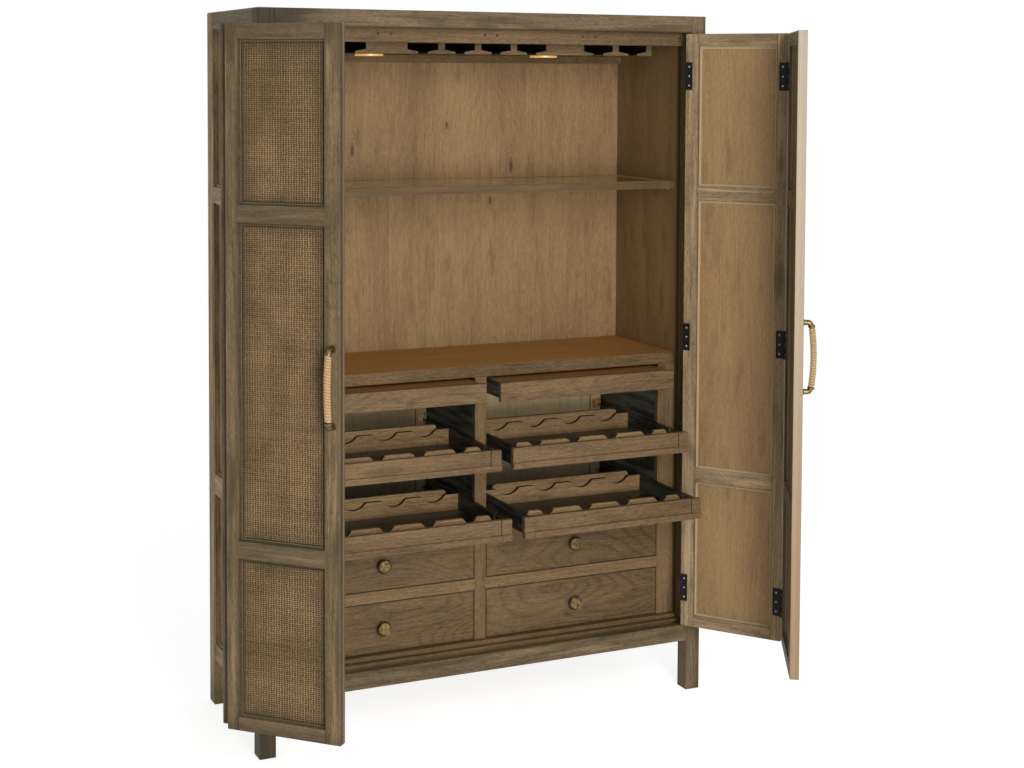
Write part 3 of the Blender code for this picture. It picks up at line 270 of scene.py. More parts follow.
class Finish:
    """One material: its Principled shader and the nodes that feed it."""

    def __init__(self, name, roughness=0.5, metallic=0.0, sheen=0.2):
        self.material = bpy.data.materials.new(name)
        self.material.use_nodes = True
        self.tree = self.material.node_tree
        self.shader = self.tree.nodes["Principled BSDF"]
        self.feed(Roughness=roughness, Metallic=metallic, Specular_IOR_Level=sheen)

    def connect(self, socket, value):
        if isinstance(value, Wire):
            self.tree.links.new(value.socket, socket)
        elif socket.type == "RGBA":
            socket.default_value = (*value[:3], 1.0)
        else:
            socket.default_value = value

    def feed(self, **sockets):
        for name, value in sockets.items():
            self.connect(self.shader.inputs[name.replace("_", " ")], value)

    def node(self, kind, settings=None, sockets=None, output=0):
        made = self.tree.nodes.new(kind)
        for name, value in (settings or {}).items():
            setattr(made, name, value)
        for name, value in (sockets or {}).items():
            self.connect(pick(made.inputs, name), value)
        return Wire(self, pick(made.outputs, output))

    def place(self, matrix):
        """X, Y and Z of the surface in the coordinates that the matrix leads to."""
        where = self.node("ShaderNodeTexCoord", output="Object")
        where = self.node("ShaderNodeMapping", {}, {
            "Vector": where,
            "Location": tuple(matrix.translation),
            "Rotation": tuple(matrix.to_euler()),
        })
        return self.split(where)

    def split(self, vector):
        made = self.node("ShaderNodeSeparateXYZ", {}, {"Vector": vector})
        return [Wire(self, socket) for socket in made.socket.node.outputs]

    def vector(self, x, y, z):
        return self.node("ShaderNodeCombineXYZ", {}, {"X": x, "Y": y, "Z": z})

    def noise(self, vector, detail=0.0, roughness=0.5):
        sockets = {"Vector": vector, "Scale": 1.0, "Detail": detail, "Roughness": roughness}
        return self.node("ShaderNodeTexNoise", {}, sockets)

    def chance(self, value):
        """The same random share for each whole number."""
        return self.node("ShaderNodeTexWhiteNoise", {"noise_dimensions": "1D"}, {"W": value})

    def mix(self, share, first, second, way="MIX"):
        settings = {"data_type": "RGBA", "blend_type": way}
        sockets = {"Factor_Float": share, "A_Color": first, "B_Color": second}
        return self.node("ShaderNodeMix", settings, sockets, "Result_Color")

    def upward(self):
        """How far the surface faces up, from -1 to 1."""
        return self.split(self.node("ShaderNodeNewGeometry", output="True Normal"))[2]

    def specks(self, matrix, per_metre, detail):
        """Noise as fine in each direction, in the coordinates that the matrix leads to."""
        return self.noise(self.vector(*[part * per_metre for part in self.place(matrix)]), detail)

    def relief(self, height, depth, strength=1.0):
        sockets = {"Height": height, "Distance": depth, "Strength": strength}
        self.feed(Normal=self.node("ShaderNodeBump", {}, sockets, "Normal"))


# Finishes of the timber, cloth and metal

HAIR = 0.0001
OAK_WEAR = 0.55
PLAIN_FIGURE = 0.08
VENEER_FIGURE = 0.1
TRAY_FIGURE = 0.2
DRAWER_FRONT_FIGURE = 0.26
COUNTER_FIGURE = 0.03
SHELF_EDGE_WEAR = 0.3
GRAIN_RELIEF = 0.0005
VENEER_RELIEF = 0.0004
COUNTER_RELIEF = 0.0003
WEAVE_RELIEF = 0.0008
CORD_RELIEF = 0.0006
PATINA_RELIEF = 0.0002
WING_METAL = 0.6
SLIDE_METAL = 0.7
RACK_ROUGHNESS = 0.38

# Tones that are the same on every cabinet of this kind, among them painted shade and painted highlights
EDGE_HIGHLIGHT_HIGH = (0.37, 0.31, 0.235)
EDGE_HIGHLIGHT_LOW = (0.29, 0.20, 0.11)
BEAD_HIGHLIGHT_TONE = (0.46, 0.36, 0.22)
CORD_TONE = (0.30, 0.24, 0.15)
DRAWER_BOX_TONE = (0.36, 0.27, 0.17)
# Dark tone for painted shade and for dark joints
SHADE_AND_GLAZE_TONE = (0.035, 0.024, 0.014)
# Dark brown for painted shade on the inner walls, and for the cloth's dark border
BROWN_SHADE_AND_BORDER = (0.02, 0.014, 0.008)
GAP_SHADE_TONE = (0.012, 0.009, 0.006)
BAY_SHADE_TONE = (0.012, 0.012, 0.010)
RACK_FLOOR_SHADE_TONE = (0.007, 0.007, 0.006)
NOTCH_TONE = (0.016, 0.011, 0.006)
WEAVE_GAP = (0.012, 0.009, 0.005)
LEAF_SHADE = (0.020, 0.016, 0.011)
KNOT_TONE = (0.045, 0.026, 0.012)
TRAY_STAIN = (0.05, 0.02, 0.01)
RACK_BROWNS = ((0.050, 0.040, 0.021), (0.115, 0.090, 0.048))
RACK_WALL_PAINT = (0.010, 0.011, 0.010)
SLATE_PAINT_AND_SHEEN = ((0.014, 0.017, 0.015), (0.12, 0.13, 0.115))
STEM_CHANNEL_SHADE = (0.012, 0.011, 0.010)
WING_STEEL = (0.012, 0.012, 0.012)
HINGE_STEEL = (0.014, 0.014, 0.014)
HINGE_WEAR = (0.10, 0.09, 0.08)
SLIDE_STEEL = (0.030, 0.032, 0.033)
DRAWER_SLIDE_STEEL = (0.03, 0.03, 0.03)
SCREW_ZINC = ((0.16, 0.14, 0.11), (0.55, 0.52, 0.46))
HOLE_SHADES = ((0.010, 0.007, 0.004), (0.05, 0.035, 0.02))
GLASS_TINT = (0.86, 0.93, 0.90)
LIGHT_RING_TONE = (0.62, 0.42, 0.20)
LIGHT_LENS_TONE = (0.9, 0.6, 0.25)
LIGHT_RING_PAINTED_GLOW = (0.62, 0.34, 0.08)
LIGHT_LENS_GLOW = (1.0, 0.52, 0.13)

# How much each glaze, paint, stain, painted shade and painted highlight covers of the colour under it
SHARES = {
    "rail end shade": 0.55,
    "rail foot shade": 0.75,
    "stop top shade": 0.8,
    "post inside": 0.75,
    "side beads": 0.3,
    "side top": 0.55,
    "wall front shade": 0.5,
    "wall gap shade": 0.8,
    "knot ring": 0.38,
    "knot heart": 0.75,
    "left bay shade": 0.6,
    "lower bay shade": 0.5,
    "back joint": 0.8,
    "outer bead shade": 0.6,
    "stile edge shade": 0.35,
    "middle rail": 0.35,
    "leaf ends": 0.45,
    "inner bead highlight": 0.75,
    "inner edge shade": 0.4,
    "edge highlight": 0.9,
    "edge shade": 0.7,
    "shaded leaf": 0.35,
    "weave gap": 0.95,
    "cloth edge": 0.4,
    "cloth top": 0.25,
    "cord border": 0.7,
    "cord": 0.8,
    "veneer line": 0.7,
    "veneer edge": 0.35,
    "drawer box": 0.6,
    "drawer rim": 0.6,
    "rack floor": 0.95,
    "rack walls": 0.4,
    "notch": 0.88,
    "board foot shade": 0.4,
    "block joint": 0.55,
    "tray stain": 0.45,
}

# Noises of the grain: waves per metre along it and across it, detail, roughness and start
GRAIN = {
    "sway": (1.4, 4.0, 1.0, 0.5, 0.0),
    "rings": (1.9, 6.5, 0.4, 0.5, 0.0),
    "streaks": (5.0, 190.0, 2.0, 0.6, 0.0),
    "pores": (60.0, 420.0, 2.0, 0.7, 0.0),
    "cloud": (2.0, 9.0, 2.0, 0.5, 0.0),
    "stain": (7.0, 26.0, 2.0, 0.5, 5.0),
    "brushing": (3.0, 55.0, 3.0, 0.65, 3.0),
    "smudge": (5.0, 12.0, 2.0, 0.5, 1.0),
}
SWAY_WIDTH = 0.05
SEED_STEP = 1.618
SEED_SPAN = 9.0
RING_WAVES = 150.0

# Noises of the cloth: waves per metre across and up, start, detail and roughness
CLOTH = {
    "drift": (45.0, 90.0, 0.0, 3.0, 0.7),
    "slack": (90.0, 45.0, 5.0, 3.0, 0.7),
    "fibre": (500.0, 500.0, 1.0, 2.0, 0.5),
    "cloud": (12.0, 8.0, 3.0, 2.0, 0.5),
    "patch": (130.0, 130.0, 7.0, 1.0, 0.5),
}


def grain_noise(finish, kind, along, across, through):
    """One of the grain's noises, drawn out along the grain."""
    stretch, fineness, detail, roughness, start = GRAIN[kind]
    place = finish.vector(along * stretch + start, across * fineness, through * fineness)
    return finish.noise(place, detail, roughness)


def cloth_noise(finish, kind, across, up):
    """One of the noises that make the cloth uneven."""
    waves_across, waves_up, start, detail, roughness = CLOTH[kind]
    return finish.noise(finish.vector(across * waves_across, up * waves_up, start), detail, roughness)


def darker(tone, share):
    """A tone with each of its parts at a share; above 1 it gets paler."""
    return [part * share for part in tone]


def timber(finish, along, across, through, shades, seed=0.0, board=0.0, figure=PLAIN_FIGURE, wear=0.0):
    """Open-grained timber: returns its colour, roughness and height.

    The grain runs along the first coordinate. A board width above 0 splits it into veneer leaves,
    figure sets how plainly its growth rings show, and wear how far its face is brushed pale and dark.
    """
    pale, dark = shades
    tone = 0.0
    if board:
        share = finish.chance(((across + seed) / board).floor() + seed)
        tone = (share - 0.5) * 0.12
        along = along + share * 7.0
        through = through + share * 3.0
    along = along + seed
    through = through + seed * 0.37
    bent = across + (grain_noise(finish, "sway", along, across, through) - 0.5) * SWAY_WIDTH
    field = grain_noise(finish, "rings", along, bent, through)
    rings = ((field * RING_WAVES).sine() * 0.5 + 0.5) ** 4.0
    streaks = grain_noise(finish, "streaks", along, bent, through)
    pores = grain_noise(finish, "pores", along, bent, through)
    cloud = grain_noise(finish, "cloud", along, across, through)
    light = (cloud - 0.5) * 1.0 + (streaks - 0.5) * 1.0 + (pores - 0.5) * 1.7 + 0.5
    light = light + tone - rings * figure + figure * 0.3
    colour = finish.mix(light.smaller(1.0).larger(0.0), dark, pale)
    stain = grain_noise(finish, "stain", along, across, through)
    colour = finish.mix(stain.ramp(0.56, 0.74) * 0.35, colour, darker(dark, 0.5))
    if wear:
        brushed = grain_noise(finish, "brushing", along, bent, through)
        smudge = grain_noise(finish, "smudge", along, across, through)
        colour = finish.mix(brushed.ramp(0.52, 0.72) * wear, colour, darker(pale, 1.45))
        colour = finish.mix((1.0 - brushed.ramp(0.30, 0.48)) * wear, colour, darker(dark, 0.6))
        colour = finish.mix(smudge.ramp(0.55, 0.72) * wear, colour, darker(dark, 0.7))
    roughness = 0.5 + streaks * 0.2
    height = streaks * 0.5 + pores * 0.5 - rings * figure * 0.4
    return colour, roughness, height


def crossed(first, second, share):
    """The grain's directions along and across, which change places where the share is 1."""
    return first * (1.0 - share) + second * share, second * (1.0 - share) + first * share


def tones(name, depth=1.0):
    """The pale and dark tone of a timber; a depth below 1 makes them darker."""
    looks = bpy.context.scene.cabinet_looks
    return [darker(getattr(looks, name + end), depth) for end in ("_pale", "_dark")]


def seed_of(node):
    """A different stretch of timber for each node, the same at each run."""
    return (sorted(NODES).index(node) * SEED_STEP) % SEED_SPAN


def dress(node, finish):
    """Give a node its finish in all its slots."""
    mesh = NODES[node].data
    mesh.materials.clear()
    mesh.materials.append(finish.material)


def shade_and_glaze(finish, colour, share, shade=SHADE_AND_GLAZE_TONE):
    """Darkens a colour by a share: painted shade by edges, in corners and between parts, and also dark
    joints and knots.
    """
    return finish.mix(share, colour, shade)


def lay_on(node, finish, colour, roughness, height, depth=GRAIN_RELIEF):
    """Feed a timber's colour, roughness and grain to the shader, and give the node the finish."""
    finish.feed(Base_Color=colour, Roughness=roughness)
    finish.relief(height, depth)
    dress(node, finish)


def lay_on_with_steel(node, finish, steel, colour, roughness, height):
    """The same for timber with a part in smooth black steel, such as a hinge's fixed wing."""
    finish.feed(Metallic=steel * WING_METAL)
    colour = finish.mix(steel, colour, WING_STEEL)
    lay_on(node, finish, colour, roughness - steel * 0.15, height * (1.0 - steel))


# Where painted shade darkens the front's rails: at the left end, by the lower edge and by the upper edge
RAIL_END_SHADE = (-0.64, -0.42)
RAIL_FOOT_SHADE = (HEIGHT - 0.050, HEIGHT - 0.041)
STOP_TOP_SHADE = (STOP_BOTTOM + 0.038, STOP_BOTTOM + 0.045)


def plain_timber(node, grain, timber_name="oak", board=0.0):
    """A board or frame whose grain runs one way: along X, along Z or level along X on a flat board."""
    finish = Finish(node + " timber")
    x, y, z = finish.place(TO_CABINET)
    orders = {"X": (x, z, y), "Z": (z, x, y), "X flat": (x, y, z)}
    wear = OAK_WEAR if timber_name == "oak" else 0.0
    colour, roughness, height = timber(
        finish, *orders[grain], tones(timber_name), seed_of(node), board, PLAIN_FIGURE, wear)
    # Painted shade at the rail's left end and along its lower edge, and along the stop rail's upper edge
    if node == "front_top_rail":
        colour = shade_and_glaze(finish, colour, (1.0 - x.ramp(*RAIL_END_SHADE)) * SHARES["rail end shade"])
        colour = shade_and_glaze(finish, colour, (1.0 - z.ramp(*RAIL_FOOT_SHADE)) * SHARES["rail foot shade"])
    if node == "upper_stop_rail":
        colour = shade_and_glaze(finish, colour, z.ramp(*STOP_TOP_SHADE) * SHARES["stop top shade"])
    lay_on(node, finish, colour, roughness, height)


def slate_paint(finish, x, y, z):
    """Black paint with long paler streaks painted in as a slate sheen: returns colour and roughness."""
    streaks = finish.noise(finish.vector(x * 60.0, y * 5.0, z * 60.0), 3.0)
    return finish.mix(streaks.ramp(0.35, 0.7), *SLATE_PAINT_AND_SHEEN), 0.32 + streaks * 0.2


# The case

# How much paler timber is painted where more light falls on it
LIT = 2.6
FOOT_HEIGHT = 0.14
HINGE_DEPTH = 0.1

# How much paler each post is painted for the light on it, and how dark the painted shade is at its foot and
# all over it
POSTS = {
    "post_rear_left": (LIT, 0.5, 0.0),
    "post_rear_right": (1.0, 0.5, 0.0),
    "post_front_left": (1.0, 0.1, 0.68),
    "post_front_right": (1.0, 0.15, 0.0),
}
SIDE_RAILS = (
    (0.0, 0.190),
    (0.651, 0.7125),
    (HEIGHT - 0.568, HEIGHT - 0.520),
    (HEIGHT - 0.0505, HEIGHT + 1.0),
)
SIDE_BEADS = (0.6985, 0.7045)
SIDE_TOP_SHADE = (HEIGHT - 0.16, HEIGHT - 0.04)
WALL_LEAF = 0.19
WALL_GAP_SHADE = (0.066, 0.080)
BACK_LEAF = 0.158
BAY_LEAF = 0.2
BAY_SHADE_HEIGHT = 0.03
BACK_SKIN = 0.004
BACK_JOINT = 0.257
BACK_JOINT_EDGE = (0.0012, 0.003)

# Knots on the back: place along the front, height and size
BACK_KNOTS = (
    (0.050, 1.759, 0.0060),
    (0.275, 1.628, 0.0100),
    (0.201, 1.516, 0.0070),
    (-0.268, 1.684, 0.0090),
)
BAY_WALLS = (0.0185, 0.6065)
COUNTER_LEAF = 0.14
COUNTER_EDGE = 0.0012
SHELF_END = 0.6134
LIGHT_THICKNESS = 0.0062
LENS_SHARE = 0.8
LENS_RECESS = 0.001


def finish_posts():
    """Upright grain, with painted shade on the inner faces and at the feet; the hinges' fixed wings are
    black.
    """
    for node, (lit, foot, overall) in POSTS.items():
        finish = Finish(node + " timber")
        x, y, z = finish.place(TO_CABINET)
        colour, roughness, height = timber(
            finish, z, x, y, tones("oak", lit), seed_of(node), 0.0, PLAIN_FIGURE, OAK_WEAR)
        # Painted shade at the feet, all over the front left post, and on the inner faces
        shade = (1.0 - z.ramp(0.0, FOOT_HEIGHT)) * foot + overall
        inner = (abs(x) < INNER_X + 4 * HAIR) * SHARES["post inside"]
        colour = shade_and_glaze(finish, colour, shade.larger(inner))
        wing = (abs(x) < INNER_X - HAIR) * (y < HINGE_DEPTH)
        lay_on_with_steel(node, finish, wing, colour, roughness, height)


def finish_side(node):
    """Upright panels with cross rails, with painted shade by the beads and under the top; the left side is
    painted paler for the light on it.
    """
    finish = Finish(node + " timber")
    x, y, z = finish.place(TO_CABINET)
    rail = sum(z.within(*span) for span in SIDE_RAILS).smaller(1.0)
    lit = LIT if node == "left_side" else 1.0
    colour, roughness, height = timber(
        finish, *crossed(z, y, rail), x, tones("oak", lit), seed_of(node), 0.0, PLAIN_FIGURE, OAK_WEAR)
    # Painted shade on the recessed panels by the beads, and under the top
    colour = shade_and_glaze(finish, colour, (1.0 - abs(x).ramp(*SIDE_BEADS)) * SHARES["side beads"])
    colour = shade_and_glaze(finish, colour, z.ramp(*SIDE_TOP_SHADE) * SHARES["side top"])
    lay_on(node, finish, colour, roughness, height)


def finish_inner_side(node):
    """Veneer above the counter and slate-black paint below it, with painted shade by the front and in the
    gap at the post.
    """
    finish = Finish(node + " veneer")
    x, y, z = finish.place(TO_CABINET)
    colour, roughness, height = timber(
        finish, z, y, x, tones("veneer", 0.86), seed_of(node), WALL_LEAF)
    # Painted shade in front of the face frame and in the gap by the post
    colour = shade_and_glaze(finish, colour, (y < FACE_FRONT) * SHARES["wall front shade"], BROWN_SHADE_AND_BORDER)
    colour = shade_and_glaze(finish, colour, y.within(*WALL_GAP_SHADE) * SHARES["wall gap shade"], GAP_SHADE_TONE)
    liner = (abs(x) < INNER_X - 0.001) * (z < COUNTER_BOTTOM)
    black, sheen = slate_paint(finish, x, y, z)
    colour = finish.mix(liner, colour, black)
    roughness = roughness * (1.0 - liner) + sheen * liner
    lay_on(node, finish, colour, roughness, height * (1.0 - liner * 0.7), VENEER_RELIEF)


def knot_shades(finish, x, z, knot_x, knot_z, size):
    """A knot's rings and its heart, each as a share of dark."""
    aside = (x - knot_x) / size
    above = (z - knot_z) / size
    bend = (finish.noise(finish.vector(aside * 0.7, above * 0.3, size * 90.0), 1.0) - 0.5) * 0.9
    reach = (aside * aside + above * above * 0.12) ** 0.5 + bend
    ring = ((reach * 9.0).sine() * 0.5 + 0.5) ** 3.0 * (1.0 - reach.ramp(1.2, 3.6))
    return ring * SHARES["knot ring"], (1.0 - reach.ramp(0.45, 0.85)) * SHARES["knot heart"]


def finish_back():
    """Upright veneer leaves with a few small knots, dark joints by the bays' walls, and painted shade over
    the left bay and the lower bays.
    """
    finish = Finish("back_panel veneer")
    x, y, z = finish.place(TO_CABINET)
    upper, roughness, height = timber(finish, z, x, y, tones("veneer"), 2.2, BACK_LEAF, VENEER_FIGURE)
    lower, _, _ = timber(finish, z, x, y, tones("bay_back"), 8.2, BAY_LEAF)
    # Painted shade over the left bay and the lower bays
    lower = shade_and_glaze(finish, lower, (x < 0.0) * SHARES["left bay shade"])
    lower_bay = 1.0 - z.ramp(LOWER_BAY_TOP - BAY_SHADE_HEIGHT, LOWER_BAY_TOP)
    lower = shade_and_glaze(finish, lower, lower_bay * SHARES["lower bay shade"], BAY_SHADE_TONE)
    colour = finish.mix((z < COUNTER_BOTTOM) * (y < BACK_FRONT + BACK_SKIN), upper, lower)
    for knot in BACK_KNOTS:
        for shade in knot_shades(finish, x, z, *knot):
            colour = shade_and_glaze(finish, colour, shade, KNOT_TONE)
    joint = abs(abs(abs(x) - BAY_MIDDLE) - BACK_JOINT).ramp(*BACK_JOINT_EDGE)
    colour = shade_and_glaze(finish, colour, (1.0 - joint) * (z < COUNTER_BOTTOM) * SHARES["back joint"])
    lay_on("back_panel", finish, colour, roughness, height, VENEER_RELIEF)


def finish_face_frame():
    """Upright stiles with rails between them, in the inner timber."""
    finish = Finish("face_frame timber")
    x, y, z = finish.place(TO_CABINET)
    rail = abs(x).within(*BAY_WALLS)
    shades = tones("inner_oak", 1.25)
    lay_on("face_frame", finish, *timber(finish, *crossed(z, x, rail), y, shades, 4.1))


def finish_counter():
    """Warm brown top with a paler front edge."""
    finish = Finish("counter_board timber")
    x, y, z = finish.place(TO_CABINET)
    colour, roughness, height = timber(
        finish, x, y, z, tones("counter"), 1.3, COUNTER_LEAF, COUNTER_FIGURE)
    edge, _, _ = timber(finish, x, z, y, tones("inner_oak"), 6.4)
    front = y < FACE_FRONT + COUNTER_EDGE
    colour = finish.mix(front, colour, edge)
    lay_on("counter_board", finish, colour, roughness - 0.05 * (1.0 - front), height, COUNTER_RELIEF)


def finish_divider():
    finish = Finish("slate painted divider")
    x, y, z = finish.place(TO_CABINET)
    colour, roughness = slate_paint(finish, x, y, z)
    finish.feed(Base_Color=colour, Roughness=roughness)
    dress("bay_divider", finish)


def finish_stemware():
    """Timber tees, with painted shade in black where the glasses' feet go."""
    finish = Finish("stemware_rack timber")
    x, y, z = finish.place(TO_CABINET)
    colour, roughness, height = timber(finish, x, z, y, tones("inner_oak"), 3.3)
    # Painted shade: black inside the channels
    inside = (z > STEM_BOTTOM + 0.0015) * (y > STEM_FRONT + 0.002) * (y < BACK_FRONT - 0.03)
    colour = finish.mix(inside, colour, STEM_CHANNEL_SHADE)
    lay_on("stemware_rack", finish, colour, roughness, height * (1.0 - inside), VENEER_RELIEF)


def finish_shelf():
    """The shelf's frame, dark on its front edge, and its glass."""
    finish = Finish("shelf_frame timber")
    x, y, z = finish.place(TO_CABINET)
    along, across = crossed(x, y, abs(x) > SHELF_END)
    # Apart from its front faces, the frame is painted paler, as if lit from above
    colour, roughness, height = timber(finish, along, across, z, tones("veneer", 1.9), 7.7)
    shelf_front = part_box("shelf_frame")[0].y - CABINET_Y
    front = (y < shelf_front + 0.0015) * (abs(finish.upward()) < 0.5)
    face, _, _ = timber(
        finish, along, z, y, tones("veneer", 0.40), 7.7, 0.0, PLAIN_FIGURE, SHELF_EDGE_WEAR)
    lay_on("shelf_frame", finish, finish.mix(front, colour, face), roughness, height, VENEER_RELIEF)
    glass = Finish("shelf glass", 0.03)
    smear = glass.specks(TO_CABINET, 4.0, 3.0)
    glass.feed(Base_Color=GLASS_TINT, Roughness=0.02 + smear * 0.03, Transmission_Weight=1.0, IOR=1.46)
    dress("shelf_glass", glass)


def puck_profile(radius, thickness):
    """Half of a light's section, from its hidden top over a rounded ring to the lens set into it."""
    lens = radius * LENS_SHARE
    lens_level = LENS_RECESS - thickness
    return (
        (0.0, 0.0), (radius * 0.96, 0.0), (radius, -0.0006), (radius, 0.0012 - thickness),
        (radius * 0.97, -thickness), (radius * 0.83, -thickness), (lens, lens_level), (0.0, lens_level),
    )


def puck_lights(thickness):
    """Thin round lights under the stemware rack: a brassy ring with a painted glow round a warm lens."""
    looks = bpy.context.scene.cabinet_looks
    for side in SIDES:
        node = side + "_light"
        low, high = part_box(node)
        centre = (low + high) / 2
        radius = (high.x - low.x) / 2
        finish = Finish(node + " ring and lens", 0.35)
        x, y, _ = finish.place(Matrix.Translation((-centre.x, -centre.y, 0.0)))
        lens = (x * x + y * y) ** 0.5 < radius * LENS_SHARE
        # The lens is the light; the ring's glow is a painted glow
        finish.feed(
            Base_Color=finish.mix(lens, LIGHT_RING_TONE, LIGHT_LENS_TONE),
            Metallic=(1.0 - lens) * 0.5,
            Emission_Color=finish.mix(lens, LIGHT_RING_PAINTED_GLOW, LIGHT_LENS_GLOW),
            Emission_Strength=looks.light_strength,
        )
        form = bmesh.new()
        there = Matrix.Translation((centre.x, centre.y, high.z))
        lathe(form, puck_profile(radius, thickness), there, 48)
        puck = new_piece(side + "_puck_light", form, finish, "cabinet", True)
        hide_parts(node)


# The folding doors

# Heights of the leaves' two middle rails
MIDDLE_RAILS = [(below[1] + above[0]) / 2 for below, above in zip(DOOR_WINDOWS, DOOR_WINDOWS[1:])]

# The band on a centre leaf's free edge, and the heights between which its painted highlight gets paler
EDGE_BAND = 0.0019
EDGE_HIGHLIGHT_HEIGHTS = (0.3, 1.7)

# Where painted shade, painted highlight lines and cord lie on the leaves, in from their edges or down from
# the top
LEAF_CORNER = 0.012
LEAF_ARRIS = 0.006
TOP_SHADE_DEPTH = 0.07
FOOT_SHADE_HEIGHT = 0.05
WEAVE_ROUGHNESS = 0.75
STRAND_EDGE = (0.15, 0.26)
CLOTH_EDGE_SHADE = (0.004, 0.05)
CLOTH_TOP_SHADE = (HEIGHT - 0.45, HEIGHT - 0.1)
CORD_BORDER = 0.0105
CORD = (0.0030, 0.0062)
VENEER_LINE = (0.0035, 0.0058)


def frame_shade(finish, colour, close, cross, z, rail, bead):
    """Painted shade on a leaf's outside: in the beads, by the stiles, by the middle rails and towards the
    ends.
    """
    upright = 1.0 - rail
    colour = shade_and_glaze(finish, colour, bead * SHARES["outer bead shade"])
    colour = shade_and_glaze(finish, colour, (1.0 - close.ramp(0.0, LEAF_CORNER)) * upright * SHARES["stile edge shade"])
    shaded = (1.0 - cross.ramp(0.02, 0.05)) * rail + (1.0 - cross.ramp(0.01, 0.09)) * upright * 0.6
    colour = shade_and_glaze(finish, colour, shaded * SHARES["middle rail"])
    foot = 1.0 - z.ramp(DOOR_BOTTOM, DOOR_BOTTOM + FOOT_SHADE_HEIGHT)
    head = z.ramp(DOOR_TOP - TOP_SHADE_DEPTH, DOOR_TOP)
    return shade_and_glaze(finish, colour, head.larger(foot) * SHARES["leaf ends"])


def finish_leaf_frame(side, kind):
    """Stiles and rails with their own grain, with painted shade by the panels and a painted highlight on the
    beads inside.
    """
    node = "%s_%s_leaf_frame" % (side, kind)
    finish = Finish(node + " timber")
    x, y, z = finish.place(leaf_to_cabinet(side, kind))
    x = abs(x)
    near, far = STILES[kind]
    rail = x.within(near + HAIR, far - HAIR)
    along, across = crossed(z, x, rail)
    along = along + rail * (z * 3.0).floor()
    outer_colour, roughness, height = timber(
        finish, along, across, y, tones("oak"), seed_of(node), 0.0, PLAIN_FIGURE, OAK_WEAR)
    inner_colour, _, _ = timber(
        finish, along, across, y, tones("inner_leaf"), seed_of(node) + 0.5, 0.0, PLAIN_FIGURE, OAK_WEAR)
    outside = y < PANEL_MIDDLE
    bead = y.within(*DOOR_BEADS)
    close = (near - x).larger(x - far)
    cross = abs(z - MIDDLE_RAILS[0]).smaller(abs(z - MIDDLE_RAILS[1]))
    outer_colour = frame_shade(finish, outer_colour, close, cross, z, rail, bead)
    # Painted highlight on the beads and painted shade along the stiles' edges, inside
    inner_colour = finish.mix(bead * SHARES["inner bead highlight"], inner_colour, BEAD_HIGHLIGHT_TONE)
    arris = (1.0 - close.ramp(0.0, LEAF_ARRIS)) * (1.0 - rail)
    inner_colour = shade_and_glaze(finish, inner_colour, arris * SHARES["inner edge shade"])
    colour = finish.mix(outside, inner_colour, outer_colour)
    edge = x < EDGE_BAND
    # Painted highlight on the right leaf's free edge, painted shade on the left one's
    if side == "right":
        band = finish.mix(z.ramp(*EDGE_HIGHLIGHT_HEIGHTS), EDGE_HIGHLIGHT_LOW, EDGE_HIGHLIGHT_HIGH)
        colour = finish.mix(edge * SHARES["edge highlight"], colour, band)
    else:
        colour = shade_and_glaze(finish, colour, edge * SHARES["edge shade"])
    if node == "right_centre_leaf_frame":
        colour = shade_and_glaze(finish, colour, (1.0 - outside) * (1.0 - edge) * SHARES["shaded leaf"], LEAF_SHADE)
    wing = y > DOOR_INNER_FACE + 2 * HAIR
    lay_on_with_steel(node, finish, wing, colour, roughness, height)


def woven(finish, across, up):
    """An open cloth of flat strands with dark holes between them: returns colour and height."""
    looks = bpy.context.scene.cabinet_looks
    column = across / looks.weave_across + (cloth_noise(finish, "drift", across, up) - 0.5) * 1.2
    row = up / looks.weave_up + (cloth_noise(finish, "slack", across, up) - 0.5) * 1.2
    beside = abs(column.fraction() - 0.5)
    above = abs(row.fraction() - 0.5)
    parity = ((column.floor() + row.floor()) * 0.5).fraction() * 2.0
    upright = (1.0 - beside.ramp(*STRAND_EDGE)) * (0.62 + 0.38 * parity)
    level = (1.0 - above.ramp(*STRAND_EDGE)) * (1.0 - 0.38 * parity)
    height = upright.larger(level)
    strand = finish.chance(column.floor() * 3.0 + (upright > level)) * 0.5
    strand = strand + finish.chance(row.floor() + 0.5) * 0.5
    fibre = cloth_noise(finish, "fibre", across, up)
    cloud = cloth_noise(finish, "cloud", across, up) - 0.5
    patch = cloth_noise(finish, "patch", across, up) - 0.5
    share = strand * 0.4 + fibre * 0.3 + cloud * 1.3 + patch * 1.0 + 0.17
    colour = finish.mix(share.smaller(1.0).larger(0.0), *reversed(tones("woven")))
    gap = 1.0 - height.ramp(0.1, 0.7)
    return finish.mix(gap * SHARES["weave gap"], colour, WEAVE_GAP), height + fibre * 0.1


def bordered_cloth(finish, x, z, inward):
    """The weave with painted shade by its edges and towards the top, and a dark border that has a beaded
    cord in it.
    """
    looks = bpy.context.scene.cabinet_looks
    cloth, weave = woven(finish, x, z)
    cloth = shade_and_glaze(finish, cloth, (1.0 - inward.ramp(*CLOTH_EDGE_SHADE)) * SHARES["cloth edge"])
    cloth = shade_and_glaze(finish, cloth, z.ramp(*CLOTH_TOP_SHADE) * SHARES["cloth top"])
    cloth = shade_and_glaze(finish, cloth, inward.within(0.0, CORD_BORDER) * SHARES["cord border"], BROWN_SHADE_AND_BORDER)
    beads = [abs((place / looks.weave_up).fraction() - 0.5) for place in (z, x)]
    round_bead = 1.0 - beads[0].smaller(beads[1]).ramp(0.3, 0.42)
    return finish.mix(inward.within(*CORD) * round_bead * SHARES["cord"], cloth, CORD_TONE), weave


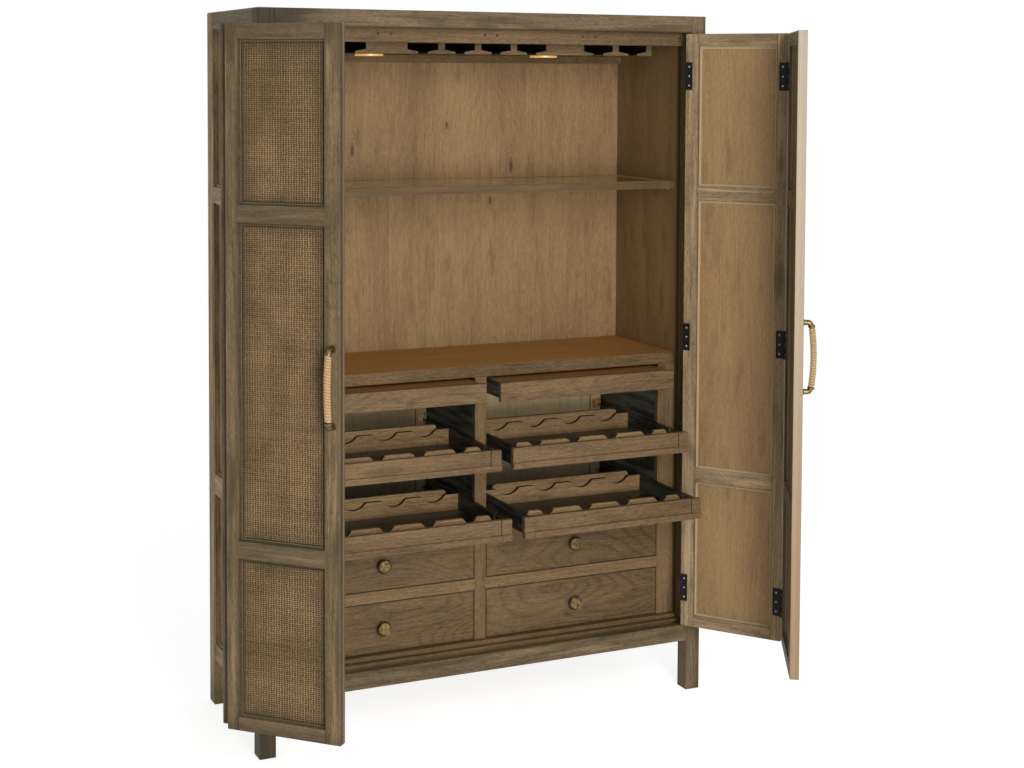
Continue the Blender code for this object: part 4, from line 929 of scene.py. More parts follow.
def finish_leaf_panel(side, kind):
    """Cloth outside with a corded border, plain veneer inside with a painted highlight line round it and
    painted shade at its edge.
    """
    node = "%s_%s_leaf_panel" % (side, kind)
    finish = Finish(node + " weave and veneer", WEAVE_ROUGHNESS)
    x, y, z = finish.place(leaf_to_cabinet(side, kind))
    x = abs(x)
    near, far = STILES[kind]
    inward = (x - near).smaller(far - x)
    for low, high in DOOR_WINDOWS:
        inward = inward.smaller(abs(abs(z - (low + high) / 2) - (high - low) / 2))
    cloth, weave = bordered_cloth(finish, x, z, inward)
    wood, roughness, grain = timber(finish, z, x, y, tones("door_veneer"), seed_of(node))
    # Painted highlight line round the veneer, painted shade at its edge
    wood = finish.mix(inward.within(*VENEER_LINE) * SHARES["veneer line"], wood, BEAD_HIGHLIGHT_TONE)
    wood = shade_and_glaze(finish, wood, inward.within(0.0, VENEER_LINE[0]) * SHARES["veneer edge"])
    if node == "right_centre_leaf_panel":
        wood = shade_and_glaze(finish, wood, SHARES["shaded leaf"], LEAF_SHADE)
    outside = y < PANEL_MIDDLE
    inside = 1.0 - outside
    finish.feed(
        Base_Color=finish.mix(outside, wood, cloth),
        Roughness=roughness * inside + outside * WEAVE_ROUGHNESS,
    )
    finish.relief(weave * outside * 2.0 + grain * inside * 0.4, WEAVE_RELIEF)
    dress(node, finish)


def finish_steel(node):
    """Black painted steel, worn a little."""
    finish = Finish(node + " black steel", 0.4, 0.6)
    wear = finish.specks(Matrix.Identity(4), 90.0, 3.0)
    colour = finish.mix(wear.ramp(0.6, 0.75) * 0.4, HINGE_STEEL, HINGE_WEAR)
    finish.feed(Base_Color=colour, Roughness=0.3 + wear * 0.25)
    dress(node, finish)


def aged_brass(name, brightness=1.0):
    """Brass with a dull patina; a brightness above 1 stands for new plating."""
    looks = bpy.context.scene.cabinet_looks
    finish = Finish(name, 0.35, 1.0)
    patina = finish.specks(Matrix.Identity(4), 130.0, 4.0)
    brass = darker(looks.brass, brightness)
    colour = finish.mix(patina.ramp(0.35, 0.75), darker(brass, 0.35), brass)
    finish.feed(Base_Color=colour, Roughness=0.28 + patina * 0.25)
    finish.relief(patina, PATINA_RELIEF, 0.4)
    return finish


# Drawers, racks and trays

# Where in the timber each drawer's front is cut from, so that each shows its own figure
DRAWER_FIGURE = {
    "left_upper_drawer": 1.4,
    "left_lower_drawer": 6.1,
    "right_upper_drawer": 3.7,
    "right_lower_drawer": 2.3,
}
DRAWER_RIM = 0.005
TRAY_TOP = 0.0035
RACK_BLOCK_LINE = 0.2605
RACK_BLOCK_JOINT = (0.0004, 0.0016)
RACK_SHADE_LENGTH = 0.08
RACK_CORNER = 0.02


def to_edge(place, low, high, depth):
    """1 at both ends of a span, falling to 0 over a depth."""
    return (abs(place - (low + high) / 2) - (high - low) / 2).ramp(-depth, 0.0)


def finish_drawer(side, row):
    """Figured grain across the front, plain boards inside."""
    name = "%s_%s_drawer" % (side, row)
    finish = Finish(name + " timber")
    x, y, z = finish.place(carrier_to_cabinet(name))
    across = abs(x) - BAY_MIDDLE
    colour, roughness, height = timber(
        finish, x, z, y, tones("inner_oak", 0.9), DRAWER_FIGURE[name], 0.0, DRAWER_FRONT_FIGURE)
    box = y > FACE_FRONT + CARRIER_FRONT - HAIR
    bar = box * (abs(across) > CARRIER_HALF + 2 * HAIR)
    colour = finish.mix(box * SHARES["drawer box"], colour, DRAWER_BOX_TONE)
    colour = finish.mix(bar, colour, DRAWER_SLIDE_STEEL)
    low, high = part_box(name)
    half = (high.x - low.x) / 2
    rim = to_edge(z, low.z, high.z, DRAWER_RIM).larger(to_edge(across, -half, half, DRAWER_RIM))
    colour = shade_and_glaze(finish, colour, rim * (1.0 - box) * SHARES["drawer rim"])
    finish.feed(Metallic=bar * SLIDE_METAL)
    lay_on(name, finish, colour, roughness, height * (1.0 - bar))


def rack_paint(finish, x, y, z, behind, within, bar):
    """A rack's paint: a brown floor with painted shade towards the front, slate walls and steel slides."""
    brown = finish.noise(finish.vector(x * 9.0, y * 70.0, z * 70.0), 3.0)
    brown = finish.mix(brown.ramp(0.3, 0.7), *RACK_BROWNS)
    # Painted shade on the floor towards the front
    near = 1.0 - behind.ramp(RACK_SHADE, RACK_SHADE + RACK_SHADE_LENGTH)
    brown = shade_and_glaze(finish, brown, near * SHARES["rack floor"], RACK_FLOOR_SHADE_TONE)
    walls, _ = slate_paint(finish, x, y, z)
    walls = finish.mix(SHARES["rack walls"], walls, RACK_WALL_PAINT)
    floor = within * (finish.upward() > 0.5)
    return finish.mix(bar, finish.mix(floor, walls, brown), SLIDE_STEEL)


def rack_finish(side, row):
    """Timber front and boards, a dark brown tray between them and black steel slides outside."""
    name = "%s_%s_rack" % (side, row)
    finish = Finish(name + " timber and paint")
    x, y, z = finish.place(carrier_to_cabinet(name))
    behind = y - FACE_FRONT
    across = abs(abs(x) - BAY_MIDDLE)
    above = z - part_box(name)[0].z
    boards = (NECK_BOARD, CRADLE_BOARD, REAR_BOARD)
    board = sum(behind.within(face - HAIR, rear + HAIR) for face, rear in boards).smaller(1.0)
    board = board * (above > RACK_FLOOR + 2 * HAIR) * (across < CARRIER_INNER + HAIR)
    front = behind < CARRIER_FRONT + HAIR
    wood = (board + front).smaller(1.0)
    bar = (across > CARRIER_HALF + 2 * HAIR) * (1.0 - front)
    within = (across < CARRIER_HALF - 2 * HAIR) * (1.0 - front)
    colour, roughness, height = timber(finish, x, z, y, tones("inner_oak"), seed_of(name))
    # The boards' faces are painted paler, as if lit
    face, _, _ = timber(finish, x, z, y, tones("inner_oak", 2.1), seed_of(name) + 0.7)
    colour = finish.mix(board, colour, face)
    colour = finish.mix(wood, rack_paint(finish, x, y, z, behind, within, bar), colour)
    notch = behind.within(*NECK_BOARD) * (above < RACK_WALL - 15 * HAIR)
    cut_edge = (behind.within(*CRADLE_BOARD) + notch).smaller(1.0) * (finish.upward() > 0.2)
    colour = finish.mix(cut_edge * board * SHARES["notch"], colour, NOTCH_TONE)
    # Painted shade where the boards meet the floor
    corner = (1.0 - (above - RACK_FLOOR).ramp(0.0, RACK_CORNER)) * board
    colour = shade_and_glaze(finish, colour, corner * SHARES["board foot shade"])
    block = abs(across - RACK_BLOCK_LINE).ramp(*RACK_BLOCK_JOINT)
    colour = shade_and_glaze(finish, colour, (1.0 - block) * front * SHARES["block joint"])
    finish.feed(
        Base_Color=colour,
        Roughness=roughness * wood + (1.0 - wood) * RACK_ROUGHNESS,
        Metallic=bar * SLIDE_METAL,
    )
    finish.relief(height * wood, GRAIN_RELIEF)
    return finish


def finish_tray(side):
    """Timber front and a dark brown top in a black channel."""
    name = side + "_tray"
    finish = Finish(name + " timber and paint")
    x, y, z = finish.place(carrier_to_cabinet(name))
    colour, roughness, height = timber(
        finish, x, z, y, tones("inner_oak"), seed_of(name), 0.0, TRAY_FIGURE)
    top_colour, _, _ = timber(finish, x, y, z, tones("counter"), 5.5, 0.0, VENEER_FIGURE)
    front = y < FACE_FRONT + CARRIER_FRONT + HAIR
    top = (1.0 - front) * (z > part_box(name)[1].z - TRAY_TOP)
    colour = finish.mix(top, colour, finish.mix(SHARES["tray stain"], top_colour, TRAY_STAIN))
    under = (1.0 - front) * (1.0 - top)
    black, sheen = slate_paint(finish, x, y, z)
    colour = finish.mix(under, colour, black)
    roughness = roughness * (1.0 - under) + sheen * under
    lay_on(name, finish, colour, roughness, height * (1.0 - under))


# Wine racks

def arc(centre, radius, start, end, steps):
    """Points on a round stretch between two angles in degrees."""
    points = []
    for step in range(steps + 1):
        angle = math.radians(start + (end - start) * step / steps)
        points.append((centre[0] + radius * math.cos(angle), centre[1] + radius * math.sin(angle)))
    return points


def bottle_places():
    return [(number - (BOTTLES - 1) / 2) * BOTTLE_PITCH for number in range(BOTTLES)]


def neck_board_loop(low, top):
    """The board behind the front, with a flared round notch for each bottle's neck."""
    centre = top + NECK_RADIUS - NECK_DEPTH
    loop = [(-NECK_HALF, low), (NECK_HALF, low)]
    loop += [(NECK_HALF, top - NECK_CORNER), (NECK_HALF - NECK_CORNER, top)]
    for place in reversed(bottle_places()):
        loop.append((place + NECK_RADIUS + NECK_LIP, top))
        loop += arc((place, centre), NECK_RADIUS, *NOTCH_ARC, NOTCH_STEPS)
        loop.append((place - NECK_RADIUS - NECK_LIP, top))
    loop += [(-NECK_HALF + NECK_CORNER, top), (-NECK_HALF, top - NECK_CORNER)]
    return loop


def cradle_board_loop(low, top):
    """The board further back, with a wide trough under each bottle's body and rounded crests."""
    half = CARRIER_INNER + CRADLE_TENON
    reach = CRADLE_RADIUS + CREST_RADIUS
    swing = math.degrees(math.acos(1.0 - CRADLE_DEPTH / reach))
    across = reach * math.sin(math.radians(swing))
    crest = top - CREST_RADIUS
    trough = top - CRADLE_DEPTH + CRADLE_RADIUS
    loop = [(-half, low), (half, low), (half, top)]
    for place in reversed(bottle_places()):
        loop += arc((place + across, crest), CREST_RADIUS, 90.0, 90.0 + swing, CORNER_ARC_STEPS)
        loop += arc((place, trough), CRADLE_RADIUS, swing - 90.0, -90.0 - swing, TROUGH_STEPS)[1:]
        loop += arc((place - across, crest), CREST_RADIUS, 90.0 - swing, 90.0, CORNER_ARC_STEPS)[1:]
    loop.append((-half, top))
    return loop


def rear_board_loop(low, top):
    """The straight board at the back, with rounded upper corners."""
    loop = [(-REAR_HALF, low), (REAR_HALF, low)]
    across = REAR_HALF - REAR_CORNER
    crest = top - REAR_CORNER
    loop += arc((across, crest), REAR_CORNER, 0.0, 90.0, CORNER_ARC_STEPS)
    loop += arc((-across, crest), REAR_CORNER, 90.0, 180.0, CORNER_ARC_STEPS)
    return loop


def channel_loop():
    """The floor and side walls, with a slide's steel bar on each side."""
    right = [
        (CARRIER_HALF, RACK_LIFT),
        (CARRIER_HALF, RACK_SLIDE - SLIDE_BAR_HALF), (SLIDE_BAR, RACK_SLIDE - SLIDE_BAR_HALF),
        (SLIDE_BAR, RACK_SLIDE + SLIDE_BAR_HALF), (CARRIER_HALF, RACK_SLIDE + SLIDE_BAR_HALF),
        (CARRIER_HALF, RACK_WALL), (CARRIER_INNER, RACK_WALL), (CARRIER_INNER, RACK_FLOOR),
    ]
    return right + [(-across, up) for across, up in reversed(right)]


def prism(form, points, step, soften=0.0):
    """A solid between a flat loop of points and the same loop a step away."""
    first = [form.verts.new(point) for point in points]
    second = [form.verts.new(point + step) for point in points]
    faces = [form.faces.new(first), form.faces.new(list(reversed(second)))]
    for number in range(len(points)):
        after = (number + 1) % len(points)
        faces.append(form.faces.new((first[after], first[number], second[number], second[after])))
    bmesh.ops.recalc_face_normals(form, faces=faces)
    if soften:
        edges = list(dict.fromkeys(edge for face in faces for edge in face.edges))
        bmesh.ops.bevel(form, geom=edges, offset=soften, segments=1, affect="EDGES")


def upright_board(form, loop, span, soften=0.0):
    """A board across a rack, from a loop across and up."""
    points = [Vector((across, FACE_FRONT + span[0], up)) for across, up in loop]
    prism(form, points, Vector((0.0, span[1] - span[0], 0.0)), soften)


def rack_front(form, half):
    """The front board: a ledge along its foot and a panel set back between two end blocks."""
    inner = half - RACK_BLOCK
    for start, end, face in ((-half, -inner, 0.0), (-inner, inner, RACK_RECESS), (inner, half, 0.0)):
        profile = [
            (-RACK_LEDGE, 0.0), (CARRIER_FRONT, 0.0), (CARRIER_FRONT, RACK_FRONT), (face, RACK_FRONT),
            (face, RACK_LEDGE_HEIGHT), (-RACK_LEDGE, RACK_LEDGE_HEIGHT),
        ]
        points = [Vector((start, FACE_FRONT + behind, up)) for behind, up in profile]
        prism(form, points, Vector((end - start, 0.0, 0.0)), FRONT_ARRIS)


def wine_rack(side, row):
    """A pull-out rack: front, channel with its slides, and the three boards that hold the bottles."""
    name = "%s_%s_rack" % (side, row)
    low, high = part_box(name)
    form = bmesh.new()
    rack_front(form, (high.x - low.x) / 2)
    upright_board(form, channel_loop(), (CARRIER_FRONT, REAR_BOARD[1]))
    upright_board(form, neck_board_loop(RACK_FLOOR, RACK_WALL), NECK_BOARD, BOARD_ARRIS)
    upright_board(form, cradle_board_loop(RACK_FLOOR, CRADLE_TOP), CRADLE_BOARD, BOARD_ARRIS)
    upright_board(form, rear_board_loop(RACK_FLOOR, REAR_TOP), REAR_BOARD, BOARD_ARRIS)
    there = Matrix.Translation((BAY_MIDDLE * SIDES[side], 0.0, low.z))
    bmesh.ops.transform(form, matrix=carrier_to_cabinet(name).inverted() @ there, verts=form.verts)
    rack = new_piece(name + "_joinery", form, rack_finish(side, row), name)
    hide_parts(name)


# Meshes for the small fittings

SHARP_FROM = 40.0

# A screw's dome as reach and rise in shares of its radius, and its cross recess
SCREW_SIDES = 16
SCREW_DOME = ((1.0, 0.0), (0.97, 0.10), (0.80, 0.26), (0.52, 0.36))
RECESS_ARM = 0.42
RECESS_NOOK = 0.30
RECESS_BRIM = 0.38
RECESS_WALL = 0.12
RECESS_FLOOR = 0.02

# Rows of hinge screws on the leaves: the leaf, the place across and the wing's thickness
LEAF_SCREWS = (
    ("side", 0.64675, 0.0018),
    ("side", 0.3450, 0.0015),
    ("centre", 0.3145, 0.0018),
)
POST_SCREW_LINE = 0.02325
POST_SCREW_RISE = 0.0015
SCREW_SPIN = 0.6

# Screws of the door stops: places along the front, and heights above the lower edges of two pieces
STOP_SCREWS = (-0.342, -0.3025, -0.0085, 0.030, 0.314, 0.355, 0.651)
UPPER_STOP_LINE = 0.0245
LOWER_STOP_LINE = 0.030
STOP_SCREW_SPIN = 9.0
HOLE_WIDTH = 5.0
HOLE_CORNER = 2.49
HOLE_THICKNESS = 0.0005


def circle(sides):
    """Points at reach 1 round Z, one for each side."""
    angles = [2 * math.pi * step / sides for step in range(sides)]
    return [Vector((math.cos(angle), math.sin(angle), 0.0)) for angle in angles]


def band(form, lower, upper):
    """Faces between two closed loops with as many points each."""
    for step in range(len(lower)):
        after = (step + 1) % len(lower)
        form.faces.new((lower[step], lower[after], upper[after], upper[step]))


def new_piece(name, form, finish, body, smooth=False):
    """A mesh object made from a form, with its finish, that moves with a body."""
    mesh = bpy.data.meshes.new(name)
    form.to_mesh(mesh)
    form.free()
    mesh.materials.append(finish.material)
    if smooth:
        mesh.shade_smooth()
        mesh.set_sharp_from_angle(angle=math.radians(SHARP_FROM))
    piece = bpy.data.objects.new(name, mesh)
    bpy.context.scene.collection.objects.link(piece)
    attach(piece, body)
    return piece


def screw_head(form, matrix, radius):
    """A domed head with a cross recess, facing +Z, put where the matrix leads."""
    places = [[point * reach + Vector((0.0, 0.0, rise)) for point in circle(SCREW_SIDES)]
              for reach, rise in SCREW_DOME]
    recess = []
    for step, point in enumerate(circle(SCREW_SIDES)):
        reach = RECESS_ARM if step % 4 == 0 else RECESS_NOOK
        rise = RECESS_BRIM if step % 4 == 2 else RECESS_WALL
        recess.append(point * reach + Vector((0.0, 0.0, rise)))
    loops = []
    for loop in places + [recess]:
        loops.append([form.verts.new(matrix @ (place * radius)) for place in loop])
    for lower, upper in zip(loops, loops[1:]):
        band(form, lower, upper)
    centre = form.verts.new(matrix @ Vector((0.0, 0.0, RECESS_FLOOR * radius)))
    for step in range(SCREW_SIDES):
        form.faces.new((loops[-1][step], loops[-1][(step + 1) % SCREW_SIDES], centre))


def lathe(form, profile, matrix, sides):
    """A form turned about Z from places out from the axis and along it, the ends on the axis."""
    rings = []
    for reach, up in profile:
        points = circle(sides if reach else 1)
        rings.append([form.verts.new(matrix @ (point * reach + Vector((0.0, 0.0, up)))) for point in points])
    faces = []
    for first, second in zip(rings, rings[1:]):
        for step in range(sides):
            after = (step + 1) % sides
            corners = [first[step % len(first)], first[after % len(first)]]
            corners += [second[after % len(second)], second[step % len(second)]]
            faces.append(form.faces.new(list(dict.fromkeys(corners))))
    bmesh.ops.recalc_face_normals(form, faces=faces)


def facing(place, direction, spin=0.0):
    """A matrix that puts something facing +Z at a place, facing a direction."""
    turned = Vector(direction).to_track_quat("Z", "Y").to_matrix().to_4x4()
    return Matrix.Translation(place) @ turned @ Matrix.Rotation(spin, 4, "Z")


def screw_finish():
    """Bright zinc with dirt in it."""
    finish = Finish("zinc screws", 0.3, 1.0)
    finish.feed(Base_Color=finish.mix(finish.specks(Matrix.Identity(4), 400.0, 2.0), *SCREW_ZINC))
    return finish


def hinge_screws(radius):
    """Three screws in each plate of the hinges, on the posts and on the leaves."""
    finish = screw_finish()
    for side, sign in SIDES.items():
        post = bmesh.new()
        forms = {kind: bmesh.new() for kind in STILES}
        back = {kind: leaf_to_cabinet(side, kind).inverted() for kind in forms}
        for level in LEVELS:
            height = middle_of("%s_post_hinge_%s" % (side, level)).z
            for number, step in enumerate((-1, 0, 1)):
                z = height + step * HINGE_SCREW_SPREAD
                spin = SCREW_SPIN * number
                for kind, across, wing in LEAF_SCREWS:
                    place = (across * sign, DOOR_INNER_FACE + wing, z)
                    screw_head(forms[kind], back[kind] @ facing(place, (0, 1, 0), spin), radius)
                place = ((INNER_X - POST_SCREW_RISE) * sign, POST_SCREW_LINE, z)
                there = TO_CABINET.inverted() @ facing(place, (-sign, 0, 0), spin)
                screw_head(post, there, radius)
        new_piece(side + "_post_screws", post, finish, "cabinet", True)
        for kind, form in forms.items():
            name = "%s_%s_leaf_screws" % (side, kind)
            new_piece(name, form, finish, "%s_%s_leaf" % (side, kind), True)


def stop_screws(radius):
    """Small screws in the strips that the doors shut against, each on a dark round hole."""
    form = bmesh.new()
    holes = bmesh.new()
    lines = (STOP_BOTTOM + UPPER_STOP_LINE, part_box("bottom_board")[0].z + LOWER_STOP_LINE)
    for x in STOP_SCREWS:
        for z in lines:
            turned = facing((x, STOP_FRONT, z), (0, -1, 0), x * STOP_SCREW_SPIN)
            there = TO_CABINET.inverted() @ turned
            screw_head(form, there, radius)
            width = radius * HOLE_WIDTH
            plate(holes, there, width, width, HOLE_THICKNESS, radius * HOLE_CORNER)
    new_piece("stop_strip_screws", form, screw_finish(), "cabinet", True)
    shadow = Finish("shaded screw holes", 0.8)
    shadow.feed(Base_Color=shadow.mix(shadow.specks(TO_CABINET, 900.0, 2.0), *HOLE_SHADES))
    new_piece("stop_strip_holes", holes, shadow, "cabinet")


# Handles and knobs

ROPE_OUTER = 0.0096
ROPE_STRETCH = 1.002
CORD_STEPS = 18
CORD_SIDES = 10
CORD_TWIST = 190.0
CORE_STEPS = 40
ROD_SIDES = 16
CORE_TWIST = 300.0
CORD_STRANDS = 3.0
COLLAR_GAP = 0.0005
LEG_STEPS = 3
BEND_STEPS = 8
TURNED_SIDES = {"handle": 24, "knob": 48}


def handle_place(along):
    """A place on the handle's arched centre line and its direction, with the door shut."""
    half = HANDLE_CENTRES / 2
    radius = (half ** 2 + HANDLE_RISE ** 2) / (2 * HANDLE_RISE)
    angle = along / radius
    out = HANDLE_STANDOFF + HANDLE_RISE - radius * (1 - math.cos(angle))
    place = Vector((0.0, -out, radius * math.sin(angle)))
    return place, Vector((0.0, math.sin(angle), math.cos(angle)))


def handle_from_shut(side, node):
    """Takes a handle's form, made about its middle on the shut door, to where it stands."""
    low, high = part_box(node)
    shut = Matrix.Translation((HANDLE_ACROSS * SIDES[side], DOOR_FACE, (low.z + high.z) / 2))
    return leaf_to_cabinet(side, "centre").inverted() @ shut


def tube(form, points, radius, sides, turns_per_metre):
    """A round tube through points, with U along it and V round it for the strand's twist."""
    layer = form.loops.layers.uv.verify()
    previous = None
    across = Vector((1.0, 0.0, 0.0))
    travelled = 0.0
    for number, place in enumerate(points):
        before = points[max(number - 1, 0)]
        after = points[min(number + 1, len(points) - 1)]
        direction = (after - before).normalized()
        across = (across - direction * across.dot(direction)).normalized()
        upward = direction.cross(across)
        travelled += (place - before).length
        loop = []
        for step in range(sides):
            angle = 2 * math.pi * step / sides
            offset = across * math.cos(angle) + upward * math.sin(angle)
            loop.append(form.verts.new(place + offset * radius))
        if previous:
            for step in range(sides):
                later = (step + 1) % sides
                face = form.faces.new((previous[step], previous[later], loop[later], loop[step]))
                face.smooth = True
                lengths = (start, start, travelled, travelled)
                rounds = (step, step + 1, step + 1, step)
                for corner, length, part in zip(face.loops, lengths, rounds):
                    corner[layer].uv = (length * turns_per_metre, part / sides)
        else:
            form.faces.new(list(reversed(loop)))
        previous = loop
        start = travelled
    form.faces.new(previous)


def rope_finish():
    """Tan cord with its strands twisted round each other."""
    looks = bpy.context.scene.cabinet_looks
    finish = Finish("twisted tan cord", 0.85)
    along, around, _ = finish.split(finish.node("ShaderNodeTexCoord", output="UV"))
    strand = (along + around * CORD_STRANDS).fraction()
    ridge = 1.0 - abs(strand - 0.5) * 2.0
    fibre = finish.noise(finish.vector(along * 9.0, around * 30.0, 0.0), 3.0)
    share = (ridge * 0.55 + fibre * 0.5).smaller(1.0)
    colour = finish.mix(share, tuple(looks.rope_dark), tuple(looks.rope_pale))
    finish.feed(Base_Color=colour, Sheen_Weight=0.15)
    finish.relief(ridge + fibre * 0.4, CORD_RELIEF)
    return finish


def wound_line(sign, limit, reach, turns):
    """Points of a cord wound round the handle's centre line at a reach from it."""
    points = []
    for step in range(turns * CORD_STEPS + 1):
        share = step / (turns * CORD_STEPS)
        place, direction = handle_place(limit * (2 * share - 1))
        sideways = Vector((sign, 0, 0))
        outward = direction.cross(Vector((1.0, 0.0, 0.0)))
        angle = 2 * math.pi * step / CORD_STEPS
        points.append(place + reach * (math.cos(angle) * sideways + math.sin(angle) * outward))
    return points


def rope_grips(turns, thickness):
    """One fine cord wound closely round each handle, from collar to collar."""
    finish = rope_finish()
    strand = thickness / 2
    wound = ROPE_OUTER - strand
    for side, sign in SIDES.items():
        node = side + "_rope_grip"
        low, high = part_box(node)
        limit = (high.z - low.z) / 2 * ROPE_STRETCH - strand
        form = bmesh.new()
        tube(form, wound_line(sign, limit, wound, turns), strand, CORD_SIDES, CORD_TWIST)
        shares = [2 * step / CORE_STEPS - 1 for step in range(CORE_STEPS + 1)]
        core = [handle_place(limit * share)[0] for share in shares]
        tube(form, core, wound - strand * 0.25, ROD_SIDES, CORE_TWIST)
        bmesh.ops.transform(form, matrix=handle_from_shut(side, node), verts=form.verts)
        grip = new_piece(side + "_rope_winding", form, finish, side + "_centre_leaf")
        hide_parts(node)


def bent_rod(way):
    """Points from a handle's foot out along its leg and round the bend to the collar."""
    foot = Vector((0.0, 0.0, way * HANDLE_CENTRES / 2))
    corner = foot - Vector((0.0, HANDLE_STANDOFF, 0.0))
    leg = HANDLE_STANDOFF - HANDLE_BEND
    points = [foot - Vector((0.0, leg * step / LEG_STEPS, 0.0)) for step in range(LEG_STEPS + 1)]
    for step in range(1, BEND_STEPS + 1):
        angle = math.pi / 2 * step / BEND_STEPS
        back = HANDLE_BEND * (1.0 - math.sin(angle))
        inward = HANDLE_BEND * (1.0 - math.cos(angle))
        points.append(corner + Vector((0.0, back, -way * inward)))
    return points


def handle_ends(side):
    """The handle's bent brass ends, each with a foot on the door and a collar at the rope."""
    node = side + "_handle_bar"
    form = bmesh.new()
    sides = TURNED_SIDES["handle"]
    for way in (-1, 1):
        collar, direction = handle_place(way * (ROPE_HALF + COLLAR_GAP))
        points = bent_rod(way)
        tube(form, points + [collar], HANDLE_ROD, ROD_SIDES, 1.0)
        lathe(form, HANDLE_FOOT, facing(points[0], (0, -1, 0)), sides)
        lathe(form, HANDLE_COLLAR, facing(collar, direction * way), sides)
    bmesh.ops.transform(form, matrix=handle_from_shut(side, node), verts=form.verts)
    finish = aged_brass(side + " handle brass")
    body = side + "_centre_leaf"
    ends = new_piece(side + "_handle_ends", form, finish, body, True)
    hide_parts(node)


def drawer_knob(side, row, radius):
    """A knob with a small foot, a neck and a broad flat head with a raised rim."""
    node = "%s_%s_knob" % (side, row)
    low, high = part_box(node)
    profile = [(radius * wide, (high.y - low.y) * out) for wide, out in KNOB_FORM]
    foot = Vector(((low.x + high.x) / 2, high.y, (low.z + high.z) / 2))
    form = bmesh.new()
    lathe(form, profile, facing(foot, (0, -1, 0)), TURNED_SIDES["knob"])
    finish = aged_brass("%s %s knob brass" % (side, row))
    body = "%s_%s_drawer" % (side, row)
    knob = new_piece(node + "_turning", form, finish, body, True)
    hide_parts(node)


# Slide fittings

CORNER_STEPS = 3
PLATING_BRIGHTNESS = 3.2
BRACKET_FROM_WALL = 0.0195
BRACKET_ABOVE_SLIDE = 0.0205
BRACKET_SIZE = (0.016, 0.030)
BRACKET_THICKNESS = 0.0015
BRACKET_CORNER = 0.003
BRACKET_SCREW = 0.003
BRACKET_SCREW_SPREAD = 0.010
SIDE_PLATE_FROM_WALL = 0.008
SIDE_PLATE_FROM_BACK = 0.010
SIDE_PLATE_RISE = 0.007
SIDE_PLATE_SIZE = (0.018, 0.018)
RIVET_PLACES = (0.026, 0.040, 0.120, 0.200, 0.280, 0.350)
RIVET_WIDTH = 0.007
RIVET_CORNER = 0.0034
RIVET_THICKNESS = 0.0003
TRAY_SLIDE_DROP = 0.030


def plate(form, matrix, width, height, thickness, corner):
    """A flat plate with rounded corners, facing +Z."""
    outline = []
    for sx, sy, start in ((1, 1, 0.0), (-1, 1, 90.0), (-1, -1, 180.0), (1, -1, 270.0)):
        middle = (sx * (width / 2 - corner), sy * (height / 2 - corner))
        for across, up in arc(middle, corner, start, start + 90.0, CORNER_STEPS):
            outline.append(Vector((across, up, 0.0)))
    lower = [form.verts.new(matrix @ point) for point in outline]
    upper = [form.verts.new(matrix @ (point + Vector((0.0, 0.0, thickness)))) for point in outline]
    form.faces.new(list(reversed(lower)))
    form.faces.new(upper)
    band(form, lower, upper)


def rear_bracket(form, wall, way, level):
    """An angle bracket by a bay's wall: a plate on the back, one by the wall, and two screws."""
    out = TO_CABINET.inverted()
    x = wall + way * BRACKET_FROM_WALL
    on_back = out @ facing((x, BACK_FRONT, level), (0, -1, 0))
    plate(form, on_back, *BRACKET_SIZE, BRACKET_THICKNESS, BRACKET_CORNER)
    place = (wall + way * SIDE_PLATE_FROM_WALL, BACK_FRONT - SIDE_PLATE_FROM_BACK, level + SIDE_PLATE_RISE)
    by_wall = out @ facing(place, (way, 0, 0))
    plate(form, by_wall, *SIDE_PLATE_SIZE, BRACKET_THICKNESS, BRACKET_CORNER)
    for lift in (-BRACKET_SCREW_SPREAD, BRACKET_SCREW_SPREAD):
        place = (x, BACK_FRONT - BRACKET_THICKNESS, level + lift)
        screw_head(form, out @ facing(place, (0, -1, 0)), BRACKET_SCREW)


def rear_brackets():
    """Brass-coloured angle brackets that hold the slides' rear ends to the back."""
    form = bmesh.new()
    for row in ROWS:
        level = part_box("right_%s_rack" % row)[0].z + RACK_SLIDE + BRACKET_ABOVE_SLIDE
        for sign in SIDES.values():
            for wall, way in zip(BAY_WALLS, (1, -1)):
                rear_bracket(form, wall * sign, way * sign, level)
    finish = aged_brass("brass plated brackets", PLATING_BRIGHTNESS)
    new_piece("rear_brackets", form, finish, "cabinet")


def slide_rivets():
    """Flat rivets along the steel bars of the racks and trays."""
    finish = screw_finish()
    carriers = [side + "_tray" for side in SIDES]
    carriers += ["%s_%s_rack" % (side, row) for side in SIDES for row in ROWS]
    for name in carriers:
        sign = SIDES[name.split("_")[0]]
        back = carrier_to_cabinet(name).inverted()
        low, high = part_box(name)
        level = high.z - TRAY_SLIDE_DROP if name.endswith("tray") else low.z + RACK_SLIDE
        form = bmesh.new()
        for way in (-1, 1):
            for reach in RIVET_PLACES:
                place = (BAY_MIDDLE * sign + way * SLIDE_BAR, FACE_FRONT + reach, level)
                there = back @ facing(place, (way, 0, 0))
                plate(form, there, RIVET_WIDTH, RIVET_WIDTH, RIVET_THICKNESS, RIVET_CORNER)
        new_piece(name + "_rivets", form, finish, name)


# Stage, lamps and camera

CAMERA_PLACE = (-1.3956, -4.6455, 1.9125)
CAMERA_YAW = 0.4340
CAMERA_PITCH = -0.0541
CAMERA_ROLL = 0.0047
FOCAL_PIXELS = 1739.19
IMAGE_WIDTH = 1024
IMAGE_HEIGHT = 768
HORIZON_ROW = 171.0
SENSOR_WIDTH = 36.0
FLOOR_HALF = 30.0
FLOOR_SHOWN = (0.55, 0.55, 0.55)
FLOOR_GLOW = (0.79, 0.79, 0.79)

